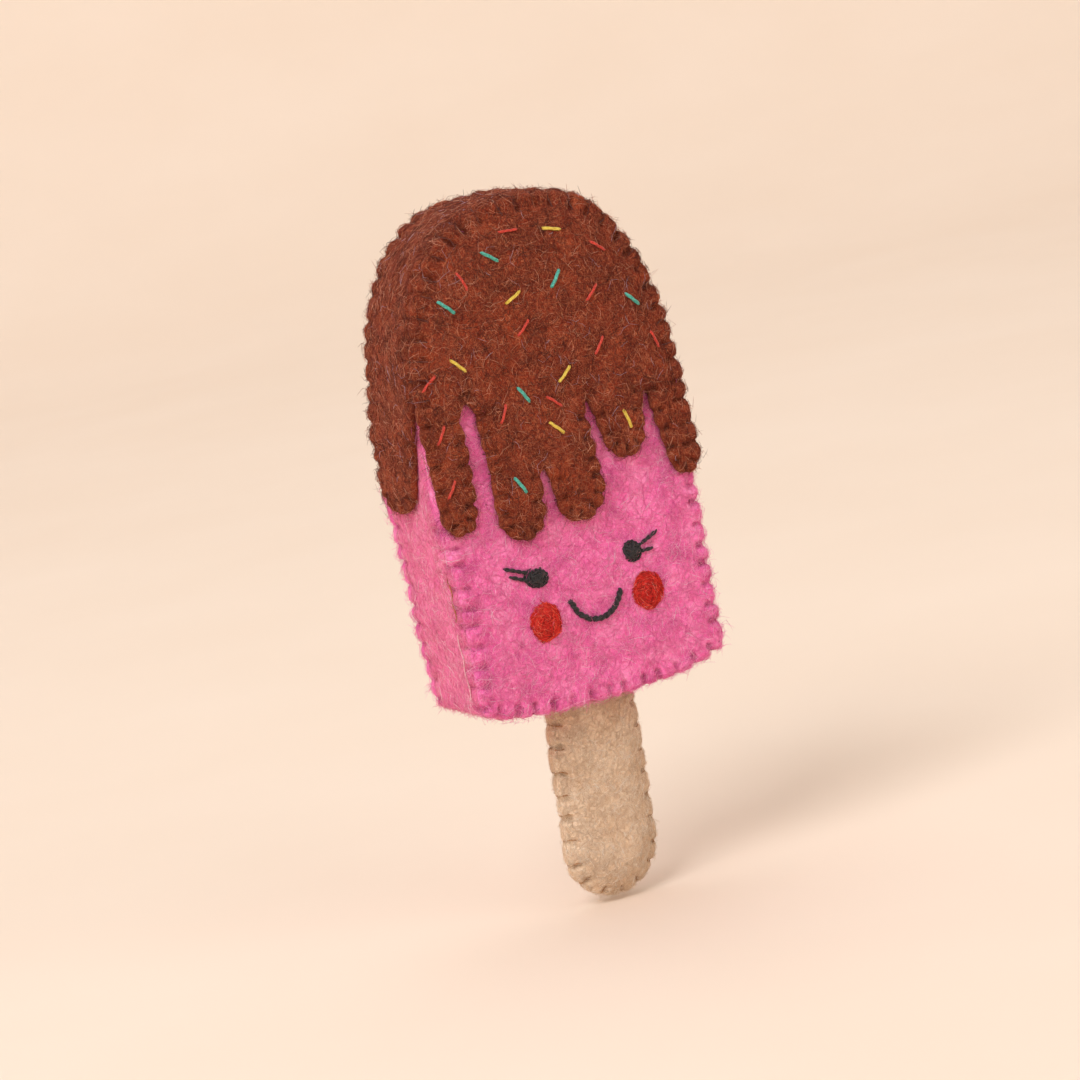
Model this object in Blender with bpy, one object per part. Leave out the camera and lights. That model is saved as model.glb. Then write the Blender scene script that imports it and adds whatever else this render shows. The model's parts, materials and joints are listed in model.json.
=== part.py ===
"""A hand-sewn felt ice lolly toy: a stuffed pink body with a chocolate coat, on a stuffed felt stick.

+Z runs up the stick, the front faces -Y, and the origin is at the lowest point of the stick.
Lengths in this file are in millimetres until MM turns them into metres.
"""

import math

import bmesh
import bpy
from mathutils import Vector

MM = 0.001

# Cloth and thread.
FELT = 1.6  # thickness of one layer of felt
GAP = 0.3  # air between two pieces that touch
LAYER = FELT + GAP
THREAD_R = 0.35
STITCH = 4.2  # from one whip stitch to the next
THREAD_STAND = 1.0  # how far a whip stitch stands off the felt corner that it wraps

# Body.
BODY_BASE = 49.0  # height of the bottom corners above the tip of the stick
BASE_HALF = 28.6
SHOULDER_HALF = 29.5
SHOULDER_Z = 101.0
ARCH_RISE = 48.1
ARCH_POWER = 0.8  # 1 would make the arch an ellipse, and less makes it squarer
BOTTOM_BOW = 4.2  # how far the bottom edge sags between its corners
BOW_POWER = 0.8
EDGE_Y = 9.35  # from the middle to the outer face of a pink panel, at its edge
DOME = ((0.0, 0.0), (3.0, 1.0), (7.0, 2.0), (12.0, 2.5))  # distance in from the edge, rise of the panel there
BOTTOM_STEPS = 10
SIDE_STEPS = 3
ARCH_STEPS = 20

# Chocolate coat: each drip is its middle x, its half width and the height of its tip.
FRONT_DRIPS = ((-26.0, 4.5, 85.8), (-12.4, 5.2, 81.8), (1.2, 5.8, 82.6), (14.2, 5.4, 92.7), (27.2, 4.3, 85.7))
FRONT_GAP_TOPS = (111.6, 96.5, 106.2, 106.4)
BACK_DRIPS = ((-26.8, 4.8, 88.0), (-13.0, 5.0, 95.0), (0.6, 5.2, 84.0), (14.2, 4.8, 88.0), (27.0, 4.8, 89.0))
BACK_GAP_TOPS = (107.0, 104.0, 100.0, 108.0)
SIDE_DRIP_TIP, SIDE_DRIP_HALF = 91.0, 6.9
SIDE_DRIP_MIDDLE = 1.5  # the side drips lie a little nearer the back
SIDE_DRIP_ROUND = 6.5  # height of the rounded end of a side drip
SIDE_GAP_TOP = 117.0  # where a side drip starts to leave the seams
SIDE_GAP_SLOPE = 3.5  # how much lower it is clear of them
PINK_THREAD_TOP, COAT_THREAD_LOW = 83.0, 94.0  # where the threads of the side seams end
DRIP_ARC_STEPS = 6
GAP_ARC_STEPS = 4

# Stick.
STICK_TIP = 1.5
STICK_TOP = 60.0
STICK_HALF = 10.8
STICK_NARROW = 1.4  # how much narrower each side is where it meets the body
STICK_WIDEST = 26.0
STICK_FOOT_X = -0.8
STICK_LEAN = 2.1  # how far the stick leans to the right on its way up to the body
STICK_ROUND = 11.0  # height of the rounded end
STICK_DOME = ((0.0, 0.0), (1.2, 1.6), (3.0, 2.5), (5.5, 2.75))
STICK_EDGE_Y = GAP / 2 + FELT
STICK_ARC_STEPS = 14
STICK_SIDE_STEPS = 5
STICK_THREAD_TOP = 42.5

# Face.
EYE_X, EYE_Z, EYE_R = 11.2, 73.5, 2.2
CHEEK_X, CHEEK_Z, CHEEK_R = 12.4, 64.0, 3.4
SMILE_X, SMILE_HALF, SMILE_Z, SMILE_DROP = 1.0, 5.8, 65.8, 4.4
LASHES = {
    "left_eye_upper_lash": ((-13.9, 75.1), (-18.9, 77.1)),
    "left_eye_lower_lash": ((-14.0, 73.4), (-17.9, 75.2)),
    "right_eye_upper_lash": ((13.8, 74.5), (17.9, 76.3)),
    "right_eye_lower_lash": ((14.0, 72.9), (16.2, 72.9)),
}

# Sprinkles: middle x and z, and the angle of the stitch in degrees, for each colour of floss.
SPRINKLE_LONG = 4.0
SPRINKLE_R = 0.42
SPRINKLES = {
    "red": ((-3.6, 143.9, -3), (15.7, 136.7, -38), (-16.0, 136.0, -70), (12.1, 127.8, 45), (-4.8, 124.1, 43),
            (25.3, 115.1, -69), (11.7, 116.8, 54), (-27.0, 117.5, 42), (-0.8, 107.9, -42), (-12.6, 108.0, 63),
            (-26.6, 106.8, 60), (-26.9, 95.7, 57)),
    "yellow": ((6.0, 142.3, -15), (-5.7, 130.6, 27), (-20.5, 119.7, -47), (2.6, 112.9, 43), (-1.5, 102.6, -44),
               (15.0, 100.6, -74)),
    "teal": ((-9.0, 139.6, -37), (4.5, 132.3, 53), (-20.3, 131.6, -46), (21.5, 124.4, -46), (-7.4, 110.8, -59),
             (-12.2, 93.1, -60)),
}

# Colours as sRGB hex.
PINK, BROWN, BEIGE = "D9678F", "7A3929", "D2AF90"
WADDING, PINK_THREAD, BROWN_THREAD, BEIGE_THREAD = "EFE9DD", "B94A78", "4A1F18", "B98F68"
BLACK, CHEEK_RED = "2E2625", "C9332F"
FLOSS = {"red": "D8361F", "yellow": "D8B83A", "teal": "3AA08C"}


def linear(hex_colour):
    """An sRGB hex colour as linear RGB with full alpha."""
    values = [int(hex_colour[i : i + 2], 16) / 255 for i in (0, 2, 4)]
    return [v / 12.92 if v <= 0.04045 else ((v + 0.055) / 1.055) ** 2.4 for v in values] + [1.0]


def material(name, hex_colour, roughness):
    made = bpy.data.materials.new(name)
    made.use_nodes = True
    shader = made.node_tree.nodes["Principled BSDF"]
    shader.inputs["Base Color"].default_value = linear(hex_colour)
    shader.inputs["Roughness"].default_value = roughness
    shader.inputs["Metallic"].default_value = 0.0
    return made


def add(name, data, finish):
    """Puts mesh or curve data in the scene under this name with its own material."""
    data.materials.append(material(name, *finish))
    obj = bpy.data.objects.new(name, data)
    bpy.context.collection.objects.link(obj)
    return obj


def add_bmesh(name, bm, finish):
    bmesh.ops.recalc_face_normals(bm, faces=bm.faces)
    bmesh.ops.scale(bm, vec=Vector((MM, MM, MM)), verts=bm.verts)
    mesh = bpy.data.meshes.new(name)
    bm.to_mesh(mesh)
    bm.free()
    obj = add(name, mesh, finish)
    mesh.shade_smooth()
    mesh.set_sharp_from_angle(angle=math.radians(35))
    return obj


def stack(name, rings, finish):
    """A closed solid that runs through rings of equally many points: one cap, extruded from ring to ring."""
    bm = bmesh.new()
    first = cap = bm.faces.new([bm.verts.new(point) for point in rings[0]])
    for ring in rings[1:]:
        grown = bmesh.ops.extrude_face_region(bm, geom=[cap])["geom"]
        if cap is not first:
            bmesh.ops.delete(bm, geom=[cap], context="FACES_ONLY")
        cap = next(item for item in grown if isinstance(item, bmesh.types.BMFace))
        for vert, point in zip(cap.verts, ring):
            vert.co = point
    return add_bmesh(name, bm, finish)


def plate(name, points, low_y, high_y, finish):
    """A flat shape in the XZ plane, extruded from one y to the other."""
    return stack(name, [[(x, y, z) for x, z in points] for y in (low_y, high_y)], finish)


def tube(name, points, radius, finish, resolution=0):
    """A thread: a curve through the points, with a round bevel and closed ends."""
    curve = bpy.data.curves.new(name, "CURVE")
    curve.dimensions = "3D"
    curve.bevel_depth = radius * MM
    curve.bevel_resolution = resolution
    curve.use_fill_caps = True
    spline = curve.splines.new("POLY")
    spline.points.add(len(points) - 1)
    for place, (x, y, z) in zip(spline.points, points):
        place.co = (x * MM, y * MM, z * MM, 1)
    return add(name, curve, finish)


def as_cutter(obj):
    obj.hide_render = True
    obj.display_type = "WIRE"
    return obj


def boolean(obj, cutter, operation):
    step = obj.modifiers.new(cutter.name, "BOOLEAN")
    step.operation = operation
    step.object = cutter


def outline(out=0.0):
    """The body seen from the front, this far outside its edge, anticlockwise from the bottom left corner."""
    base, shoulder = BASE_HALF + out, SHOULDER_HALF + out
    low = BODY_BASE - out
    points = []
    for i in range(BOTTOM_STEPS + 1):
        across = -math.cos(math.pi * i / BOTTOM_STEPS)
        points.append((base * across, low - BOTTOM_BOW * (1 - abs(across) ** 3) ** BOW_POWER))
    side = []
    for i in range(1, SIDE_STEPS):
        share = i / SIDE_STEPS
        side.append((base + (shoulder - base) * share, low + (SHOULDER_Z - low) * share))
    points += side
    for i in range(ARCH_STEPS + 1):
        turn = math.pi * i / ARCH_STEPS
        x = shoulder * math.copysign(abs(math.cos(turn)) ** ARCH_POWER, math.cos(turn))
        points.append((x, SHOULDER_Z + (ARCH_RISE + out) * abs(math.sin(turn)) ** ARCH_POWER))
    points += [(-x, z) for x, z in reversed(side)]
    return points


def stick_middle(z):
    """The x of the stick's middle at this height. It stands straight inside the body."""
    return STICK_FOOT_X + STICK_LEAN * (min(z, BODY_BASE) / BODY_BASE) ** 2


def stick_half(z):
    """Half the stick's width at this height: it narrows towards the body."""
    up = max(0.0, min(z, BODY_BASE) - STICK_WIDEST) / (BODY_BASE - STICK_WIDEST)
    return STICK_HALF - STICK_NARROW * up**2


def stick_outline(out=0.0):
    """The stick seen from the front, this far outside its edge, anticlockwise from its top left corner."""
    start = STICK_TIP + STICK_ROUND
    heights = [start + (BODY_BASE - start) * i / STICK_SIDE_STEPS for i in range(1, STICK_SIDE_STEPS + 1)]
    heights.append(STICK_TOP + out)
    points = [(stick_middle(z) - stick_half(z) - out, z) for z in reversed(heights)]
    for i in range(STICK_ARC_STEPS + 1):
        turn = math.pi * i / STICK_ARC_STEPS
        z = start - (STICK_ROUND + out) * math.sin(turn)
        points.append((stick_middle(z) - (STICK_HALF + out) * math.cos(turn), z))
    points += [(stick_middle(z) + stick_half(z) + out, z) for z in heights]
    return points


def rise_at(inset, dome):
    """How far a domed panel has risen this far in from its edge."""
    for (near, low), (far, high) in zip(dome, dome[1:]):
        if inset < far:
            return low + (high - low) * max(0.0, inset - near) / (far - near)
    return dome[-1][1]


def domed_ring(shape, inset, base_y, side, dome):
    """One ring of a domed face: side is -1 at the front and 1 at the back."""
    y = side * (base_y + rise_at(inset, dome))
    return [(x, y, z) for x, z in shape(-inset)]


def domed_panel(name, shape, inner_y, side, dome, insets, finish):
    """A layer of felt that domes outwards from its edge to a flat middle."""
    inner = [domed_ring(shape, inset, inner_y, side, dome) for inset in reversed(insets)]
    outer = [domed_ring(shape, inset, inner_y + FELT, side, dome) for inset in insets]
    return stack(name, inner + outer, finish)


def inset_of(x, z):
    """How far a point of the front view lies inside the body's edge."""
    x = abs(x)
    if z > SHOULDER_Z:
        low, high = 0.0, SHOULDER_HALF - 0.1
        for _ in range(30):
            middle = (low + high) / 2
            across = x / (SHOULDER_HALF - middle)
            up = (z - SHOULDER_Z) / (ARCH_RISE - middle)
            if across ** (2 / ARCH_POWER) + up ** (2 / ARCH_POWER) > 1:
                high = middle
            else:
                low = middle
        return low
    share = (z - BODY_BASE) / (SHOULDER_Z - BODY_BASE)
    return BASE_HALF + (SHOULDER_HALF - BASE_HALF) * share - x


def face_y(x, z, layers):
    """The outer face at the front, over this many layers of felt, as a distance from the middle."""
    return EDGE_Y + (layers - 1) * LAYER + rise_at(inset_of(x, z), DOME)


def drip_edge(drips, gap_tops):
    """The lower edge of the chocolate, from left to right: round drips, with round-topped gaps between them."""
    points = []
    for i, (middle, half, tip) in enumerate(drips):
        for k in range(DRIP_ARC_STEPS + 1):
            turn = math.pi * k / DRIP_ARC_STEPS
            points.append((middle - half * math.cos(turn), tip + half - half * math.sin(turn)))
        if i == len(gap_tops):
            break
        right = middle + half
        left = drips[i + 1][0] - drips[i + 1][1]
        gap_r = (left - right) / 2
        for k in range(GAP_ARC_STEPS + 1):
            turn = math.pi * k / GAP_ARC_STEPS
            points.append((right + gap_r - gap_r * math.cos(turn), gap_tops[i] - gap_r + gap_r * math.sin(turn)))
    return points


def walk(points, step):
    """Evenly spaced places along a line, each with the normal that points to the line's right."""
    lengths = [math.dist(a, b) for a, b in zip(points, points[1:])]
    count = round(sum(lengths) / step)
    even = sum(lengths) / count
    places = []
    for i in range(count + 1):
        left = min(i * even, sum(lengths) - 1e-6)
        for (ax, az), (bx, bz), length in zip(points, points[1:], lengths):
            if left <= length:
                share = left / length
                normal = ((bz - az) / length, -(bx - ax) / length)
                places.append(((ax + (bx - ax) * share, az + (bz - az) * share), normal))
                break
            left -= length
    return places


def whip_stitches(name, points, face, side, finish):
    """A thread that wraps a corner of the felt: on the face at one point, outside the edge at the next.

    face(x, z) is the height of the felt's face, and the line's right is the outside.
    """
    route = []
    for i, ((x, z), (nx, nz)) in enumerate(walk(points, STITCH / 2)):
        height = face(x, z)
        if i % 2:
            x, z = x + nx * THREAD_STAND, z + nz * THREAD_STAND
        else:
            height += THREAD_STAND
        route.append((x, side * height, z))
    return tube(name, route, THREAD_R, finish)


def body():
    """The pink cover, with its gussets, and the wadding in it."""
    insets = [inset for inset, _ in DOME]
    for name, side in (("front_panel", -1), ("back_panel", 1)):
        domed_panel(name, outline, EDGE_Y - FELT, side, DOME, insets, (PINK, 0.95))
    inner_y = EDGE_Y - FELT - GAP
    outside, inside = outline(), outline(-FELT)
    last = BOTTOM_STEPS - 1
    round_sides = outside[last:] + outside[:2]
    plate("side_gusset", round_sides + (inside[last:] + inside[:2])[::-1], -inner_y, inner_y, (PINK, 0.95))
    under = trimmed(outside[1 : last + 1]) + trimmed(inside[1 : last + 1])[::-1]
    gusset = plate("bottom_gusset", under, -inner_y, inner_y, (PINK, 0.95))
    insets[0] = LAYER
    wadding_y = EDGE_Y - LAYER
    rings = [domed_ring(outline, inset, wadding_y, 1, DOME) for inset in reversed(insets)]
    rings += [domed_ring(outline, inset, wadding_y, -1, DOME) for inset in insets]
    wadding = stack("body_wadding", rings, (WADDING, 1.0))
    middle, wide = stick_middle(BODY_BASE), stick_half(BODY_BASE - BOTTOM_BOW) + GAP
    left, right, high = middle - wide, middle + wide, STICK_TOP + GAP
    deep = STICK_EDGE_Y + STICK_DOME[-1][1] + GAP
    corners = [(left, 0), (right, 0), (right, high), (left, high)]
    pocket = as_cutter(plate("stick_pocket", corners, -deep, deep, (WADDING, 1.0)))
    boolean(gusset, pocket, "DIFFERENCE")
    boolean(wadding, pocket, "DIFFERENCE")


def trimmed(points):
    """The line with each end drawn back by the gap between pieces."""
    first, last = Vector(points[0]), Vector(points[-1])
    first += (Vector(points[1]) - first).normalized() * GAP
    last += (Vector(points[-2]) - last).normalized() * GAP
    return [tuple(first)] + points[1:-1] + [tuple(last)]


def chocolate_panel(name, side, drips, gap_tops):
    """A chocolate overlay: a domed layer over the pink one, cut off along the drips."""
    insets = [-LAYER] + [inset for inset, _ in DOME]
    panel = domed_panel(name, outline, EDGE_Y + GAP, side, DOME, insets, (BROWN, 0.95))
    edge = drip_edge(drips, gap_tops)
    wide = SHOULDER_HALF + 3 * LAYER
    high = SHOULDER_Z + ARCH_RISE + 3 * LAYER
    around = [(wide, edge[-1][1]), (wide, high), (-wide, high), (-wide, edge[0][1])]
    deep = 2 * EDGE_Y
    low_y, high_y = sorted((side, side * deep))
    boolean(panel, as_cutter(plate(name + "_shape", edge + around, low_y, high_y, (BROWN, 0.95))), "INTERSECT")


def chocolate_gusset():
    """The strip of chocolate felt that runs over the top of the body and ends in a round drip on each side, clear of the seams."""
    low = BOTTOM_STEPS + SIDE_STEPS - 1
    outside, inside = outline(LAYER)[low:], outline(GAP)[low:]
    keep = ARCH_STEPS + 3
    band = outside[:keep] + inside[:keep][::-1]
    gusset = plate("chocolate_gusset", band, -EDGE_Y, EDGE_Y, (BROWN, 0.95))
    wide = SHOULDER_HALF + 3 * LAYER
    high = SHOULDER_Z + ARCH_RISE + 3 * LAYER
    full, leave = EDGE_Y + GAP, SIDE_GAP_TOP - SIDE_GAP_SLOPE
    profile = [(-full, high), (-full, SIDE_GAP_TOP), (SIDE_DRIP_MIDDLE - SIDE_DRIP_HALF, leave)]
    for k in range(2 * DRIP_ARC_STEPS + 1):
        turn = math.pi * k / (2 * DRIP_ARC_STEPS)
        profile.append((SIDE_DRIP_MIDDLE - SIDE_DRIP_HALF * math.cos(turn), SIDE_DRIP_TIP + SIDE_DRIP_ROUND * (1 - math.sin(turn))))
    profile += [(SIDE_DRIP_MIDDLE + SIDE_DRIP_HALF, leave), (full, SIDE_GAP_TOP), (full, high)]
    rings = [[(x, y, z) for y, z in profile] for x in (-wide, wide)]
    boolean(gusset, as_cutter(stack("side_drip_shape", rings, (BROWN, 0.95))), "INTERSECT")


def seams():
    """The threads round the edges of the body and of the chocolate."""
    def pink_edge(x, z):
        return EDGE_Y

    def brown_edge(x, z):
        return EDGE_Y + LAYER

    edge = outline()
    left_top = (edge[-1][0], PINK_THREAD_TOP)
    right_top = (-edge[-1][0], PINK_THREAD_TOP)
    pink_line = [left_top, edge[-1], *edge[: BOTTOM_STEPS + 2], right_top]
    low = BOTTOM_STEPS + SIDE_STEPS
    brown_line = outline(LAYER)[low : low + ARCH_STEPS + 1]
    brown_line = [(brown_line[0][0], COAT_THREAD_LOW), *brown_line, (brown_line[-1][0], COAT_THREAD_LOW)]
    for word, side in (("front", -1), ("back", 1)):
        whip_stitches(word + "_seam_thread", pink_line, pink_edge, side, (PINK_THREAD, 0.8))
        whip_stitches(f"chocolate_{word}_seam_thread", brown_line, brown_edge, side, (BROWN_THREAD, 0.8))


def drip_threads():
    """The threads that sew down the drips: over their edge at the front, and along their foot at the back."""
    def chocolate(x, z):
        return face_y(x, z, 2)

    front = drip_edge(FRONT_DRIPS, FRONT_GAP_TOPS)[1:-1]
    whip_stitches("drip_front_thread", front, chocolate, -1, (BROWN_THREAD, 0.8))
    away = GAP + THREAD_R
    route = []
    for (x, z), (nx, nz) in walk(drip_edge(BACK_DRIPS, BACK_GAP_TOPS)[1:-1], STITCH / 2):
        x, z = x + nx * away, z + nz * away
        route.append((x, face_y(x, z, 1) + away + THREAD_R, z))
    tube("drip_back_thread", route, THREAD_R, (BROWN_THREAD, 0.8))


def stick():
    """Two domed strips of felt, sewn edge to edge round their wadding."""
    insets = [inset for inset, _ in STICK_DOME]
    for name, side in (("stick_front_panel", -1), ("stick_back_panel", 1)):
        domed_panel(name, stick_outline, STICK_EDGE_Y - FELT, side, STICK_DOME, insets, (BEIGE, 0.95))
    wadding_y = STICK_EDGE_Y - LAYER
    rings = [domed_ring(stick_outline, inset, wadding_y, 1, STICK_DOME) for inset in reversed(insets[1:])]
    rings += [domed_ring(stick_outline, inset, wadding_y, -1, STICK_DOME) for inset in insets[1:]]
    stack("stick_wadding", rings, (WADDING, 1.0))
    edge = [point for point in stick_outline(THREAD_STAND) if point[1] < STICK_THREAD_TOP]
    route = []
    for i, ((x, z), _) in enumerate(walk(edge, STITCH / 2)):
        route.append((x, STICK_EDGE_Y * (1 if i % 2 else -1), z))
    tube("stick_seam_thread", route, THREAD_R, (BEIGE_THREAD, 0.8))


def button(name, x, z, radius, height, finish):
    """A low mound of thread or needled wool with a flat back, on the front of the body."""
    bm = bmesh.new()
    bmesh.ops.create_icosphere(bm, subdivisions=2, radius=radius)
    bmesh.ops.scale(bm, vec=Vector((1, height / radius, 1)), verts=bm.verts)
    for vert in bm.verts:
        vert.co.y = min(vert.co.y, 0)
    bmesh.ops.translate(bm, vec=Vector((x, -face_y(x, z, 1) - GAP, z)), verts=bm.verts)
    add_bmesh(name, bm, finish)


def stitch(name, ends, radius, layers, finish):
    """One straight stitch of floss: its middle stands a little higher than the ends that go into the felt."""
    (ax, az), (bx, bz) = ends
    route = []
    for share, bow in ((0, 0), (0.5, 0.35), (1, 0)):
        x, z = ax + (bx - ax) * share, az + (bz - az) * share
        route.append((x, -face_y(x, z, layers) - GAP - radius - bow, z))
    tube(name, route, radius, finish, resolution=1)


def face():
    """Two eyes with lashes, two cheeks and a smile."""
    for word, sign in (("left", -1), ("right", 1)):
        button(word + "_eye", sign * EYE_X, EYE_Z, EYE_R, 1.4, (BLACK, 0.7))
        button(word + "_cheek", sign * CHEEK_X, CHEEK_Z, CHEEK_R, 1.2, (CHEEK_RED, 0.95))
    for name, ends in LASHES.items():
        stitch(name, ends, THREAD_R, 1, (BLACK, 0.7))
    route = []
    for i in range(9):
        turn = math.pi * i / 8
        x, z = SMILE_X - SMILE_HALF * math.cos(turn), SMILE_Z - SMILE_DROP * math.sin(turn)
        route.append((x, -face_y(x, z, 1) - GAP - THREAD_R, z))
    tube("smile_thread", route, THREAD_R, (BLACK, 0.7), resolution=1)


def sprinkles():
    """Single stitches of coloured floss, scattered over the front of the chocolate."""
    for colour, places in SPRINKLES.items():
        for number, (x, z, angle) in enumerate(places, 1):
            dx = math.cos(math.radians(angle)) * SPRINKLE_LONG / 2
            dz = math.sin(math.radians(angle)) * SPRINKLE_LONG / 2
            ends = ((x - dx, z - dz), (x + dx, z + dz))
            stitch(f"{colour}_sprinkle_{number}", ends, SPRINKLE_R, 2, (FLOSS[colour], 0.6))


for old in list(bpy.data.objects):
    bpy.data.objects.remove(old)
body()
chocolate_panel("chocolate_front", -1, FRONT_DRIPS, FRONT_GAP_TOPS)
chocolate_panel("chocolate_back", 1, BACK_DRIPS, BACK_GAP_TOPS)
chocolate_gusset()
seams()
drip_threads()
stick()
face()
sprinkles()
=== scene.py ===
# %% [markdown]
# # A felt ice lolly toy
#
# A small hand-sewn toy: pink felt stuffed with wadding, a chocolate felt coat with drips,
# a stuffed felt stick, and a stitched face. This file dresses the CAD solids in real cloth.
# The felt is cut flat, laid over the stuffed form and pulled in by its stitches, as a maker does it.
#
# The CAD frame is loaded first, and each dressed piece takes the place of a CAD part.

# %% Load the frame
import json
import math

import bmesh
import bpy
import numpy as np
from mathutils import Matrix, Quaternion, Vector, kdtree, noise
from mathutils.bvhtree import BVHTree

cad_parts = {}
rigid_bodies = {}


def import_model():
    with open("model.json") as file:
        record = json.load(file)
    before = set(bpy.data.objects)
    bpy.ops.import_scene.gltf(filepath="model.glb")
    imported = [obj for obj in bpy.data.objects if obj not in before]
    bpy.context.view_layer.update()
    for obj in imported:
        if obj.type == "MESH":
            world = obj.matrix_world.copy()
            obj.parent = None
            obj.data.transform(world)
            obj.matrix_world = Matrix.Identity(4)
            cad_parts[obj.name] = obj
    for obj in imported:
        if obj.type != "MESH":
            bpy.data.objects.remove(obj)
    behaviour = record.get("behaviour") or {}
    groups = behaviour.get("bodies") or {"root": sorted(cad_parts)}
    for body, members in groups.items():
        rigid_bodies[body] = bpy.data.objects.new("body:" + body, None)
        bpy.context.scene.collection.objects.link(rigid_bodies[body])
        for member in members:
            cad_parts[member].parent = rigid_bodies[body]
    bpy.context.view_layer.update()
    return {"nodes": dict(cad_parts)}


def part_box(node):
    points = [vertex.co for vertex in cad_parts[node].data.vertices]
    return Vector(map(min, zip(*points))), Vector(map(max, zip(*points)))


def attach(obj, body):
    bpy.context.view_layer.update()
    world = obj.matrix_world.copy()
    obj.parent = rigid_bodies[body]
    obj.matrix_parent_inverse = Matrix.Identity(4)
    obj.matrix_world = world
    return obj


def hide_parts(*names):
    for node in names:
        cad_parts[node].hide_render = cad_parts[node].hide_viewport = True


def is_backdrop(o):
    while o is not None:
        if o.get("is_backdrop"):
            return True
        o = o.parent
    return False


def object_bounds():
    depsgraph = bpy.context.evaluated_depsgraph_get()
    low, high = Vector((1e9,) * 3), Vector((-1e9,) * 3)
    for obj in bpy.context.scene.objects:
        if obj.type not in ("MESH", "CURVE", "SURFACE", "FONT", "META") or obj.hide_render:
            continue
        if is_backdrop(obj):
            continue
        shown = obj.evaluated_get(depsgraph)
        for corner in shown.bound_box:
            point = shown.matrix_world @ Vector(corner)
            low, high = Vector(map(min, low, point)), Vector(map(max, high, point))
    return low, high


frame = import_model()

MM = 0.001

# %% [markdown]
# ## Camera, floor and light
#
# The toy stands on its stick and the camera leans a little, which gives the view its tilt.
# A long lens from 80 cm keeps the small toy nearly free of perspective.

# %% Camera
azimuth, elevation, lean = math.radians(-26.87), math.radians(9.32), math.radians(-10.97)
aim = Vector((-0.38, 5.45, 77.59)) * MM
CAMERA_AWAY = 0.8  # metres from the toy


def direction(azimuth, elevation):
    """The way from the toy to a place round it: azimuth 0 is straight in front."""
    level = math.cos(elevation)
    return Vector((math.sin(azimuth) * level, -math.cos(azimuth) * level, math.sin(elevation)))


back = direction(azimuth, elevation)
lens = bpy.data.cameras.new("camera")
lens.sensor_width, lens.lens = 36.0, 127.5
lens.clip_start, lens.clip_end = 0.01, 20.0
camera = bpy.data.objects.new("camera", lens)
camera.rotation_mode = "QUATERNION"
camera.rotation_quaternion = (-back).to_track_quat("-Z", "Y") @ Quaternion((0, 0, 1), lean)
camera.location = aim + back * CAMERA_AWAY
bpy.context.scene.collection.objects.link(camera)
bpy.context.scene.camera = camera
bpy.context.scene.view_settings.view_transform = "Standard"
print("camera at", [round(v, 3) for v in camera.location])

# %% [markdown]
# Two helpers come before the first material. One turns an sRGB hex colour into the linear
# numbers that a shader wants. The other adds a node with its settings and its links.

# %% Colour and node helpers
def linear(hex_colour):
    """An sRGB hex colour as linear RGB with full alpha."""
    values = [int(hex_colour[i : i + 2], 16) / 255 for i in (1, 3, 5)]
    return [v / 12.92 if v <= 0.04045 else ((v + 0.055) / 1.055) ** 2.4 for v in values] + [1.0]


def add_node(tree, kind, settings=None, inputs=None, links=None):
    """Adds a node, sets its options and its input values, and links its inputs to other nodes' outputs."""
    made = tree.nodes.new(kind)
    for key, value in (settings or {}).items():
        setattr(made, key, value)
    for key, value in (inputs or {}).items():
        made.inputs[key].default_value = value
    for key, output in (links or {}).items():
        tree.links.new(output, made.inputs[key])
    return made


def colour_stops(ramp_node, stops):
    """Fills a colour ramp with (position, hex colour) stops."""
    ramp = ramp_node.color_ramp
    while len(ramp.elements) < len(stops):
        ramp.elements.new(0.5)
    for element, (place, hex_colour) in zip(ramp.elements, stops):
        element.position = place
        element.color = linear(hex_colour)


def new_material(name, shader_inputs):
    """A material with a Principled shader: returns the material, its tree and the shader."""
    made = bpy.data.materials.new(name)
    made.use_nodes = True
    shader = made.node_tree.nodes["Principled BSDF"]
    for key, value in shader_inputs.items():
        shader.inputs[key].default_value = value
    return made, made.node_tree, shader


# %% [markdown]
# The floor is matt card. It is turned from one profile: flat for a metre and more, then up in a curve
# all round, so that every view sees the same pale ground. The card has a faint mottle.
# A small helper puts a finished mesh in the scene, here and for every piece after it.

# %% Floor
FLOOR_FLAT, FLOOR_CURVE = 1.2, 0.9  # metres from the middle to the curve, and the radius of the curve


def piece_from(name, bm, material):
    """Puts a finished bmesh in the scene as one object with one material."""
    mesh = bpy.data.meshes.new(name)
    bm.to_mesh(mesh)
    bm.free()
    mesh.materials.append(material)
    mesh.shade_smooth()
    made = bpy.data.objects.new(name, mesh)
    bpy.context.scene.collection.objects.link(made)
    return made


card, tree, shader = new_material("matt_card", {"Roughness": 0.9, "Specular IOR Level": 0.2})
place = add_node(tree, "ShaderNodeTexCoord").outputs["Object"]
mottle = add_node(tree, "ShaderNodeTexNoise", inputs={"Scale": 9.0, "Detail": 3.0}, links={"Vector": place})
tint = add_node(tree, "ShaderNodeValToRGB", links={"Fac": mottle.outputs["Fac"]})
colour_stops(tint, [(0.3, "#F4DEC9"), (0.7, "#F6E1CD")])
tree.links.new(tint.outputs["Color"], shader.inputs["Base Color"])

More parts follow.
